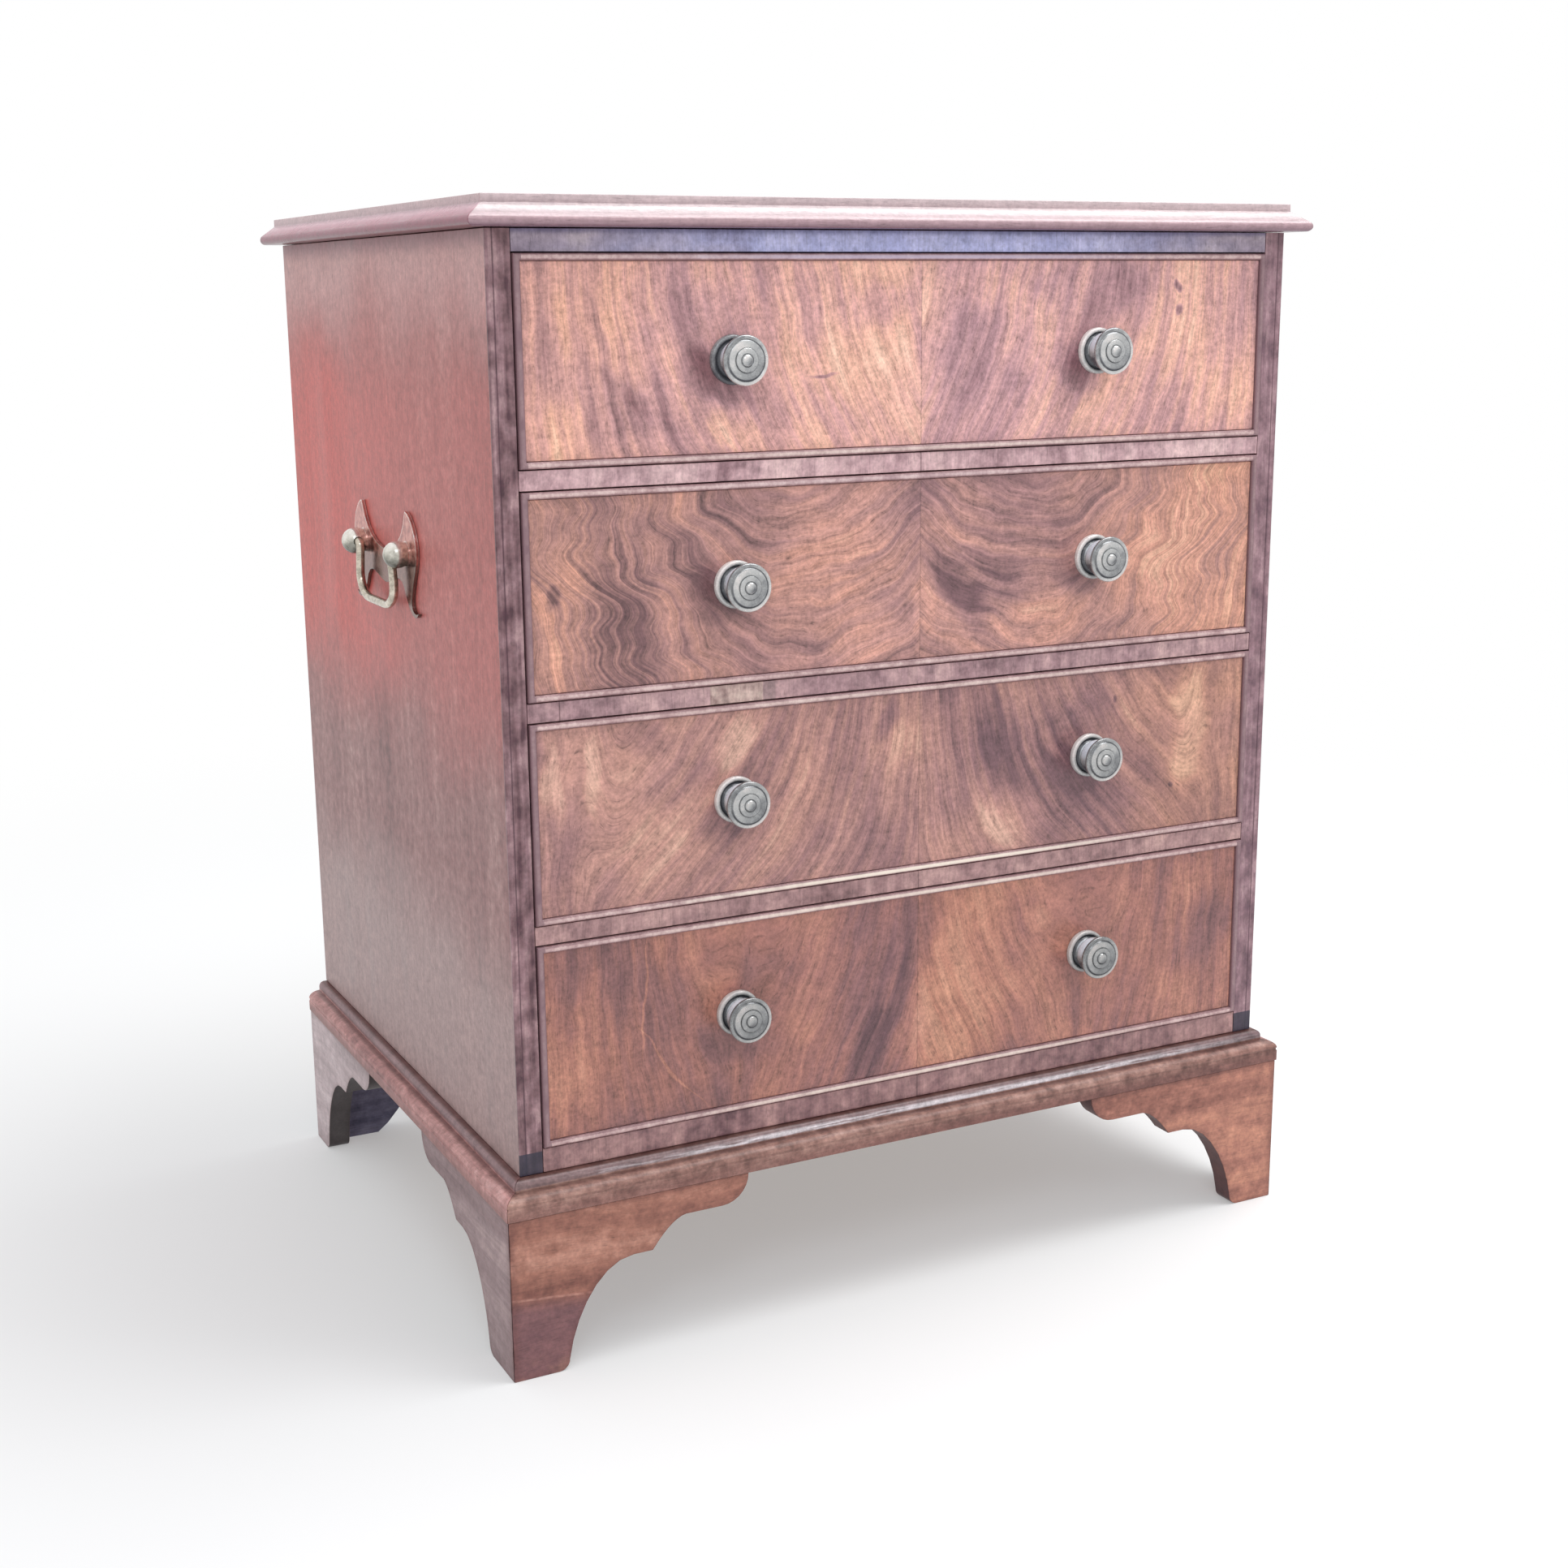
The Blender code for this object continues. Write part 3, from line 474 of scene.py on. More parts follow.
def cock_bead(number, top_run, foot_run):
    """A drawer's bead, dark up its ends, and paler along its crown, where it is rubbed and has a painted
    highlight.

    A run is how far, and to what colour, its middle has bleached.
    """
    low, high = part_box(f"drawer_{number}_bead")
    graph = Graph(f"bead_{number}", Specular_IOR_Level=GLOSS)
    x, y, z = graph.place()
    blotch = graph.noise(x * 70.0, 0.0, z * 70.0)
    fine = graph.spots((x, y, z), 420.0, 2.0, 0.6)
    # rubbed wear and a painted highlight along the crown
    crown = (y - low.y).rise(BEAD_CROWN, 0.0)
    colour = graph.ramp(crown * 0.36 + blotch * 0.36 + fine * 0.3 + 0.4, stops(*BEAD_TONES))
    end_x = high.x - BEAD_RUN
    ends = x.size().rise(end_x - BEAD_MITRE, end_x + BEAD_MITRE)
    colour = graph.mix(ends * (0.8 + blotch * 0.6), colour, paint(*BEAD_END_TONE))
    middle = (x + blotch * 0.1).size().rise(*BLEACHED) * crown
    head_z, foot_z = high.z - BEAD_RUN, low.z + BEAD_RUN
    head = z.rise(head_z, head_z + 2 * BEAD_MITRE) * middle
    foot = z.rise(foot_z, foot_z - 2 * BEAD_MITRE) * middle
    for run, (amount, tone) in ((head, top_run), (foot, foot_run)):
        colour = graph.mix(run * amount, colour, paint(*tone))
    return graph.finish(colour, 0.36 + blotch * 0.1, fine, 0.1)


# Marks on the sides and rails
STILE_TONES = ((98, 76, 82), (134, 106, 110), (152, 122, 127), (182, 150, 152))
STILE_RIGHT_TONE = (184, 152, 166)
STILE_LINE_TONE = (86, 66, 74)
STILE_BLOCK_TONE = (72, 71, 82)
STILE_EDGE = (0.002, 0.0008)  # back from the front, where a front edge's own colour sets in
STILE_LINE = (0.0052, 0.0043)  # in from the side's face
STILE_LINE_SOFT = 0.0004
STILE_BLOCK = (0.0158, 0.0152)  # up from the side's foot
PALE_HEAD = (0.66, 0.74)  # heights between which the left side's zones set in
PALE_HEAD_TONE = (206, 163, 161)
PALE_FOOT = (0.33, 0.24)
PALE_FOOT_TONE = (180, 158, 156)
RED_REFLECTION_ZONE = (0.43, 0.69, 0.06)  # painted reflection of red surroundings: its foot, head and softness
RED_REFLECTION_TONE = (204, 116, 112)
RED_REFLECTION_DEEPENS = (-0.12, 0.16)  # the painted red reflection grows stronger from front to back
TOP_SHADOW = (0.016, 0.002)  # down from the side's head
TOP_SHADOW_TONE = (122, 92, 104)
LET_IN_TONES = ((160, 134, 130), (186, 160, 154), (198, 172, 164), (210, 186, 176))
LET_IN_RUN = (-0.163, -0.1235)
GREY_TONE = (150, 130, 130)
GREY_RUN = (-0.1232, -0.114)
JOINT_TONE = (92, 70, 74)
JOINT_PLACES = (-0.271, 0.28)
JOINT_SOFT = 0.0004
RAIL_END_TONES = ((136, 120, 132), (160, 146, 160), (174, 160, 174), (192, 178, 188))
RAIL_ENDS = (0.08, 0.3)  # out from the middle, where the top rail's ends set in
RAIL_SHADOW = (0.0045, 0.0005)  # down from the side's head
RAIL_SHADOW_TONE = (92, 90, 128)
SEAM_TONE = (92, 72, 76)


def stile_marks(graph, colour, place):
    """A side board's front edge: darker, lined near its arris, with a dark end block."""
    x, y, z = place
    edge = y.rise(*(front_y + depth for depth in STILE_EDGE))
    lined = graph.noise(x * 220.0, 0.0, z * 12.0)
    blotched = graph.noise(x * 80.0, 0.0, z * 60.0, 3.0)
    dark = graph.ramp(lined * 0.6 + blotched * 0.9 + 0.5, stops(*STILE_TONES))
    dark = graph.mix(x.rise(-0.1, 0.2) * 0.2, dark, paint(*STILE_RIGHT_TONE))
    line = x.size().between(*(case_right - depth for depth in STILE_LINE), STILE_LINE_SOFT)
    dark = graph.mix(line * 0.75, dark, paint(*STILE_LINE_TONE))
    block = z.rise(*(case_foot + height for height in STILE_BLOCK))
    dark = graph.mix(block * 0.9, dark, paint(*STILE_BLOCK_TONE))
    return graph.mix(edge, colour, dark)


def left_side_marks(graph, colour, place):
    """The left side's zones of colour, pale at its head and foot with a painted red reflection between and
    painted shadow under the top, then its front edge.
    """
    x, y, z = place
    drift = graph.noise(y * 9.0, z * 9.0, 2.0) * 0.05
    height = z + drift
    head = height.rise(*PALE_HEAD) * 0.85
    foot = height.rise(*PALE_FOOT) * 0.8
    shadow = z.rise(*(case_head - depth for depth in TOP_SHADOW)) * 0.55
    # painted reflection: red surroundings mirrored in the side's polish
    red = height.between(*RED_REFLECTION_ZONE) * (0.56 + (y + drift).rise(*RED_REFLECTION_DEEPENS) * 0.44)
    zones = ((head, PALE_HEAD_TONE), (foot, PALE_FOOT_TONE), (shadow, TOP_SHADOW_TONE), (red, RED_REFLECTION_TONE))
    for zone, tone in zones:
        colour = graph.mix(zone, colour, paint(*tone, SIDE_SHEEN))
    return stile_marks(graph, colour, place)


def patch_marks(graph, colour, place):
    """A let-in pale piece in the middle divider, a greyer one beside it and the joints of its banding."""
    x, y, z = place
    pale = graph.ramp(graph.noise(x * 160.0, z * 120.0, 4.0) + 0.5, stops(*LET_IN_TONES))
    colour = graph.mix(x.between(*LET_IN_RUN, JOINT_SOFT), colour, pale)
    colour = graph.mix(x.between(*GREY_RUN, JOINT_SOFT) * 0.6, colour, paint(*GREY_TONE))
    for joint_x in JOINT_PLACES:
        colour = graph.mix(x.near(joint_x, JOINT_SOFT) * 0.6, colour, paint(*JOINT_TONE))
    return colour


def top_rail_marks(graph, colour, place):
    """The top rail: a painted sky reflection, lavender in the middle and grey mauve at its ends, and
    painted shadow under the top.
    """
    x, y, z = place
    blotch = graph.noise(x * 30.0, 0.0, z * 60.0, 3.0)
    ends = graph.ramp(0.5 + blotch, stops(*RAIL_END_TONES))
    colour = graph.mix((x.size() + blotch * 0.08).rise(*RAIL_ENDS), colour, ends)
    shadow = z.rise(*(case_head - depth for depth in RAIL_SHADOW))
    return graph.mix(shadow * 0.6, colour, paint(*RAIL_SHADOW_TONE))


def seam_marks(graph, colour, place):
    """The middle joint of a banded rail."""
    return graph.mix(place[0].size().rise(*SEAM) * 0.5, colour, paint(*SEAM_TONE))


# Marks on the feet, the base moulding and the top
SAWN_REACH = 0.009  # how far a bracket's face darkens in from its edges
SAWN_ARRIS_TONE = (112, 78, 76)
FACE_SAWN_TONE = (84, 66, 70)
RETURN_SAWN_TONE = (52, 46, 52)
SPLICE_PLACE = (-0.285, 0.0555)  # a point (x, z) on the splice's line
SPLICE_SLOPE = -0.11
SPLICE_LINE = (0.0012, 0.0004)
SPLICE_LINE_TONE = (206, 156, 142)
SPLICE_FADE = (0.004, -0.012)  # above the line, where the darker wood sets in
SPLICED_WOOD_TONE = (128, 98, 104)
SOLE_WEAR = (0.016, 0.002)
SOLE_TONE = (178, 134, 122)
MOULDING_FALL = (0.012, 0.023)  # depths below the moulding's head, here and below
MOULDING_FOOT_TONE = (132, 94, 90)
MOULDING_BEAD = (0.0004, 0.0062, 0.0008)
MOULDING_BEAD_TONE = (128, 111, 115)
BEAD_HIGHLIGHT_RUN = (-0.2, 0.26, 0.09)  # painted highlight along the bead: from left to right, and its softness
BEAD_HIGHLIGHT_FALL = (0.0016, 0.0042)
BEAD_HIGHLIGHT_TONE = (236, 228, 232)
QUIRK_DARK_LINE = (0.0072, 0.0080, 0.0005)
CASE_DARK_LINE = (0.0012, 0.0002)
MOULDING_LINE_TONE = (80, 58, 62)
TOP_STEP = (0.0015, 0.0025)  # out from the case, where the top's moulded edge sets in
TOP_MITRE = 0.0004
EDGE_HEIGHT = 0.02
FRONT_EDGE = (  # shares of that height, from the top's surface down; the pale stops on the slope are a painted highlight and the darkening down the nose is painted shade
    (0.0, (214, 196, 198)), (0.26, (192, 172, 175)), (0.3, (196, 180, 182)), (0.4, (212, 200, 201)),
    (0.56, (172, 152, 156)), (0.68, (184, 158, 163)), (0.84, (172, 144, 152)), (1.0, (122, 100, 116)),
)
END_EDGE = (
    (0.0, (208, 182, 184)), (0.26, (192, 163, 168)), (0.3, (224, 188, 198)), (0.4, (216, 170, 182)),
    (0.5, (188, 130, 146)), (0.62, (160, 92, 111)), (0.8, (134, 66, 87)), (1.0, (100, 54, 74)),
)


def sawn_marks(graph, colour, face, tone):
    """A bracket darker near its edges, and darker still on its sawn edges, which look down or along its
    face.
    """
    split = graph.add("SeparateXYZ")
    graph.feed(split.inputs[0], graph.add("NewGeometry").outputs["True Normal"])
    facing = Field(graph, split.outputs["XYZ".index(face)]).size()
    colour = graph.mix(graph.arris(SAWN_REACH) * 0.45, colour, paint(*SAWN_ARRIS_TONE))
    return graph.mix(facing.rise(0.75, 0.35) * 0.9, colour, paint(*tone))


def face_marks(graph, colour, place):
    """The sawn edges of a bracket that faces the front."""
    return sawn_marks(graph, colour, "Y", FACE_SAWN_TONE)


def return_marks(graph, colour, place):
    """The sawn edges of a bracket that faces the side."""
    return sawn_marks(graph, colour, "X", RETURN_SAWN_TONE)


def splice_marks(graph, colour, place):
    """The front left foot's splice: a pale glue line with redder, darker wood below it."""
    x, y, z = place
    waver = graph.noise(x * 30.0, 0.0, 1.0) * 0.0012
    level = z - ((x - SPLICE_PLACE[0]) * SPLICE_SLOPE + SPLICE_PLACE[1] + waver)
    colour = graph.mix(level.rise(*SPLICE_FADE) * 0.75, colour, paint(*SPLICED_WOOD_TONE))
    worn = z.rise(*SOLE_WEAR) * graph.noise(x * 60.0, z * 60.0, 7.0).rise(-0.1, 0.3)
    colour = graph.mix(worn * 0.6, colour, paint(*SOLE_TONE))
    broken = graph.noise(x * 120.0, 0.0, 3.0).rise(-0.4, 0.3)
    line = level.size().rise(*SPLICE_LINE) * broken
    colour = graph.mix(line * 0.55, colour, paint(*SPLICE_LINE_TONE))
    return face_marks(graph, colour, place)


def moulding_marks(graph, colour, place):
    """The base moulding: a grey bead with a painted highlight along its middle, over a band that darkens
    down, and dark lines at the quirk and along the case.
    """
    x, y, z = place
    depth = moulding_head - z
    streaks = graph.noise(x * 40.0, y * 40.0, depth * 700.0)
    colour = graph.mix(depth.rise(*MOULDING_FALL) * 0.6, colour, paint(*MOULDING_FOOT_TONE))
    bead = depth.between(*MOULDING_BEAD)
    colour = graph.mix(bead * 0.75, colour, paint(*MOULDING_BEAD_TONE))
    # painted highlight: the bead's middle painted near white in streaks
    rubbed = (x + streaks * 0.1).between(*BEAD_HIGHLIGHT_RUN) * (0.5 + streaks).rise(0.0, 0.6)
    colour = graph.mix(bead * rubbed * depth.rise(*BEAD_HIGHLIGHT_FALL) * 0.9, colour, paint(*BEAD_HIGHLIGHT_TONE))
    # darker at the quirk under the bead and along the case's foot
    dark_lines = depth.between(*QUIRK_DARK_LINE) * 0.6 + depth.rise(*CASE_DARK_LINE) * 0.7
    return graph.mix(dark_lines, colour, paint(*MOULDING_LINE_TONE))


def top_marks(graph, colour, place):
    """The top's moulded edge: a slope painted pale as a painted highlight and a nose painted darker
    downwards as painted shade, redder at the ends.
    """
    x, y, z = place
    across, ahead = x.size() - case_right, front_y - y
    edge = across.most(ahead).rise(*TOP_STEP)
    fall = (top_head - z) / EDGE_HEIGHT
    front = graph.ramp(fall, [(stop, paint(*tone)) for stop, tone in FRONT_EDGE])
    end = graph.ramp(fall, [(stop, paint(*tone)) for stop, tone in END_EDGE])
    banded = graph.mix((ahead - across).rise(-TOP_MITRE, TOP_MITRE), end, front)
    return graph.mix(edge * 0.9, colour, banded)


# Brass
GILT_TONES = ((104, 98, 90), (176, 168, 154), (216, 206, 190), (244, 238, 228))
LACQUER_TONES = ((146, 92, 86), (182, 118, 110), (198, 136, 126), (216, 164, 150))
LACQUER_SHADE_TONE = (84, 74, 68)
POST_TONES = ((108, 108, 100), (176, 174, 164), (222, 218, 208), (244, 240, 234))
PLATE_FACE = 0.0028  # a handle plate's face, out from the side it lies on
PLATE_PROUD = (0.0004, 0.0012)  # what stands further out than its face is rubbed
PLATE_RUBBED = 0.0022  # how far its rubbed edge reaches
PLATE_SHADE = (0.042, 0.034)  # up from its foot, where its lower part darkens
KNOB_TONES = ((78, 79, 84), (142, 143, 144), (176, 176, 175), (216, 208, 205))
KNOB_STOPS = (0.1, 0.42, 0.66, 0.95)
# painted highlight on the bulb's upper left
KNOB_GLINT_TONE = (216, 224, 234)
KNOB_LIGHTS = (1.11, 1.07, 1.03, 0.94)  # painted light: the same brass paler on the upper drawers' knobs and darker lower down, from the top drawer down
KNOB_RELIEF = 0.0002
SHADED_ROSES = ((1, "left"),)  # knobs whose rose is painted dark as painted shade
ROSE_EDGE = (0.0135, 0.0148)  # radii between which the rose's pale edge sets in
ROSE_HOLLOW = (0.0138, 0.0128)
ROSE_SOFT = 0.0004  # how softly rose and bulb part
FACE_SOFT = 0.0003
GROOVE = 0.0003  # half width of the dark lines beside a knob's rings
GROOVE_SOFT = 0.0004
QUIRK_BAND = (QUIRK_RADIUS - 0.0002, QUIRK_RADIUS + 0.0006, 0.0005)
RIM_BAND = (QUIRK_RADIUS + 0.0006, QUIRK_RADIUS + 0.0014)


def bail_brass():
    """Tarnished gilt brass, spotted dark and rubbed pale."""
    graph = Graph("handle_brass", Metallic=0.95)
    place = graph.place()
    blotch = graph.spots(place, 160.0, 3.0, 0.6)
    fine = graph.spots(place, 900.0)
    colour = graph.ramp(0.52 + blotch * 0.4 + fine * 0.15, stops(*GILT_TONES, NO_SHEEN))
    return graph.finish(colour, 0.22 + blotch * 0.1, blotch + fine * 0.4, 0.1)


def plate_brass(side):
    """A handle plate: its flat face under brown lacquer, its edges and its ball posts rubbed pale, and
    that pale brass painted lighter above the posts' middle and darker below as painted light.
    """
    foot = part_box(f"handle_{side}_plate")[0].z
    post_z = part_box(f"handle_{side}_bail")[1].z
    face_x = case_right + PLATE_FACE
    graph = Graph(f"plate_brass_{side}", Metallic=0.9)
    x, y, z = graph.place()
    blotch = graph.spots((x, y, z), 160.0, 3.0, 0.6)
    proud = x.size().rise(*(face_x + height for height in PLATE_PROUD))
    rubbed = proud.most(graph.arris(PLATE_RUBBED))
    lacquer = graph.ramp(0.5 + blotch, stops(*LACQUER_TONES, NO_SHEEN))
    lower = (z + blotch * 0.004).rise(*(foot + height for height in PLATE_SHADE))
    lacquer = graph.mix(lower * 0.7, lacquer, paint(*LACQUER_SHADE_TONE, NO_SHEEN))
    # painted light: the pale brass painted lighter above the posts' middle and darker below
    lighter_above = (z - post_z) * 45.0
    metal = graph.ramp(0.62 + blotch * 0.4 + lighter_above, stops(*POST_TONES, NO_SHEEN))
    return graph.finish(graph.mix(rubbed, lacquer, metal), 0.22 + blotch * 0.12, blotch, 0.1)


def knob_brass(number, side, light):
    """A knob's turned brass: dark in the hollows beside its rings, with painted light from the upper left,
    a painted highlight on its boss and bulb, a painted reflection on its rim's lower right and painted
    shade on the bulb's lower left.
    """
    graph = Graph(f"knob_brass_{number}_{side}")
    x, y, z = graph.place()
    radius = graph.math("SQRT", x * x + y * y)
    lean = (y - x) * 40.0
    blotch = graph.noise(x * 190.0, y * 190.0, z * 190.0 + number, 3.0, 0.6)
    fine = graph.spots((x, y, z), 900.0)

    face = z.rise(BODY_HEAD - FACE_SOFT, BODY_HEAD + FACE_SOFT)
    rose = z.rise(ROSE_HEAD + ROSE_SOFT, ROSE_HEAD - ROSE_SOFT)
    bulb = (1.0 - face) * (1.0 - rose)
    rim = radius.rise(*RIM_BAND) * face
    quirk = radius.between(*QUIRK_BAND) * face
    collar = radius.between(BOSS_RADIUS - GROOVE, BOSS_RADIUS + GROOVE, GROOVE_SOFT) * face
    ring = radius.between(RING_RADIUS - GROOVE, RING_RADIUS + GROOVE, GROOVE_SOFT) * face
    boss = radius.rise(BOSS_RADIUS, BOSS_RADIUS / 2) * face

    # painted light: lighter towards the upper left and darker towards the lower right
    tone = 0.54 + blotch * 0.3 + fine * 0.1 + lean * 0.34
    # painted highlight on the boss's upper left; painted reflection along the rim's lower right
    tone = tone + boss * (lean * 1.8 - 0.04) + rim * (0.04 - lean * 0.62)
    tone = tone - quirk * 0.55 - collar * 0.28 - ring * 0.2
    tone = tone + rose * (radius.rise(*ROSE_EDGE) * 0.12 - radius.rise(*ROSE_HOLLOW) * 0.6)
    # painted shade on the bulb's lower left
    tone = tone - bulb * (lean.rise(0.56, 0.1) * 0.6 + 0.12)
    # painted shade: a rose in shade is painted dark
    if (number, side) in SHADED_ROSES:
        tone = tone - rose * 0.6
    colours = [
        (place, paint(*(min(value * light, 255) for value in shade), NO_SHEEN))
        for place, shade in zip(KNOB_STOPS, KNOB_TONES)
    ]
    # painted highlight on the bulb's upper left
    glint = bulb * lean.rise(0.44, 0.7)
    colour = graph.mix(glint, graph.ramp(tone, colours), paint(*KNOB_GLINT_TONE, NO_SHEEN))
    graph.feed(graph.surface.inputs["Metallic"], face * 0.4 + 0.15)
    return graph.finish(colour, 0.26 + blotch * 0.1, blotch + fine * 0.4, 0.1, KNOB_RELIEF)


# Softening of the CAD solids
def smoothing_group():
    """Smooth shading that breaks at sharp edges."""
    group = bpy.data.node_groups.new("smooth_by_angle", "GeometryNodeTree")
    group.interface.new_socket("Geometry", in_out="INPUT", socket_type="NodeSocketGeometry")
    group.interface.new_socket("Geometry", in_out="OUTPUT", socket_type="NodeSocketGeometry")
    start = group.nodes.new("NodeGroupInput")
    end = group.nodes.new("NodeGroupOutput")
    faces = group.nodes.new("GeometryNodeSetShadeSmooth")
    edges = group.nodes.new("GeometryNodeSetShadeSmooth")
    edges.domain = "EDGE"
    edges.inputs["Shade Smooth"].default_value = False
    angle = group.nodes.new("GeometryNodeInputMeshEdgeAngle")
    sharp = group.nodes.new("FunctionNodeCompare")
    sharp.operation = "GREATER_THAN"
    sharp.inputs["B"].default_value = SMOOTH_ANGLE
    group.links.new(angle.outputs["Unsigned Angle"], sharp.inputs["A"])
    group.links.new(start.outputs[0], faces.inputs["Geometry"])
    group.links.new(faces.outputs[0], edges.inputs["Geometry"])
    group.links.new(sharp.outputs[0], edges.inputs["Selection"])
    group.links.new(edges.outputs[0], end.inputs[0])
    return group


smoothing = smoothing_group()


def smooth(obj):
    """Smooth shading whose normals follow the larger faces, so that flats beside an arris stay flat."""
    obj.modifiers.new("smooth", "NODES").node_group = smoothing
    weighted = obj.modifiers.new("weighted", "WEIGHTED_NORMAL")
    weighted.keep_sharp = True


def soften(obj, width):
    """Rounds a CAD node's arrises a little, unless the width is 0, and shades its curves smooth."""
    weld = obj.modifiers.new("weld", "WELD")
    weld.merge_threshold = WELD_REACH
    flat = obj.modifiers.new("flat", "DECIMATE")
    flat.decimate_type = "DISSOLVE"
    flat.angle_limit = FLAT_ANGLE
    if width:
        bevel = obj.modifiers.new("arris", "BEVEL")
        bevel.width = width
        bevel.segments = 2
        bevel.limit_method = "ANGLE"
        bevel.angle_limit = SMOOTH_ANGLE
    smooth(obj)


def dress(name, material, width=ARRIS):
    """Gives a CAD node its material and soft arrises."""
    obj = nodes[name]
    obj.data.materials.clear()
    obj.data.materials.append(material)
    soften(obj, width)


# Turned brass knobs
def swell(inner, outer, foot, rise, steps=7):
    """A half-round ring of a turned face, from its inner to its outer radius."""
    middle, half = (inner + outer) / 2, (outer - inner) / 2
    turns = [math.pi * i / (steps - 1) for i in range(steps)]
    return [(middle - half * math.cos(turn), foot + rise * math.sin(turn)) for turn in turns]


def sweep(centre, radii, start, stop, steps=8):
    """Part of an ellipse about a centre, between two angles in degrees."""
    turns = [math.radians(start + (stop - start) * i / (steps - 1)) for i in range(steps)]
    return [(centre[0] + radii[0] * math.cos(t), centre[1] + radii[1] * math.sin(t)) for t in turns]


def knob_profile():
    """From the middle of the face round to the back of the rose: (radius, height)."""
    face = sweep((0, KNOB_HEIGHT - BOSS_DOME[1]), BOSS_DOME, 90, 12)
    face += swell(BOSS_RADIUS, RING_RADIUS, KNOB_HEIGHT - INNER_RING[0], INNER_RING[1])
    face += swell(RING_RADIUS, QUIRK_RADIUS, KNOB_HEIGHT - OUTER_RING[0], OUTER_RING[1])
    rim = sweep((KNOB_RADIUS - RIM_ROUND, KNOB_HEIGHT - RIM_DEPTH), (RIM_ROUND, RIM_ROUND), 140, -60)
    body = sweep(BULB_PLACE, BULB_RADII, 40, -60, 12)
    rose = swell(ROSE_INNER, ROSE_RADIUS, ROSE_FOOT, ROSE_RISE, 9)
    return face + rim + body + rose + [(ROSE_RADIUS, ROSE_GAP), (0, ROSE_GAP)]


def turned_mesh(name, profile):
    """A closed turning about its own Z axis."""
    shape = bmesh.new()
    points = [shape.verts.new((radius, 0, height)) for radius, height in profile]
    edges = [shape.edges.new(pair) for pair in zip(points, points[1:])]
    bmesh.ops.spin(
        shape, geom=points + edges, axis=(0, 0, 1), cent=(0, 0, 0), angle=2 * math.pi,
        steps=TURN_STEPS, use_merge=True,
    )
    bmesh.ops.remove_doubles(shape, verts=shape.verts, dist=TURN_WELD)
    bmesh.ops.recalc_face_normals(shape, faces=shape.faces)
    mesh = bpy.data.meshes.new(name)
    shape.to_mesh(mesh)
    shape.free()
    return mesh


def add_knobs(number, light):
    """Turned knobs in place of a drawer's plainer CAD ones."""
    for side in SIDES:
        mesh = turned_mesh(f"knob_{number}_{side}", knob_profile())
        mesh.materials.append(knob_brass(number, side, light))
        node = f"drawer_{number}_knob_{side}"
        low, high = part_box(node)
        obj = bpy.data.objects.new(f"drawer_{number}_turned_knob_{side}", mesh)
        bpy.context.scene.collection.objects.link(obj)
        middle = (low + high) / 2
        aside, above = KNOB_SHIFTS.get((number, side), (0.0, 0.0))
        face = Matrix.Translation((middle.x + aside, front_y, middle.z + above))
        obj.matrix_world = face @ Matrix.Rotation(math.pi / 2, 4, "X")
        smooth(obj)
        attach(obj, f"drawer_{number}")
        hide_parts(node)


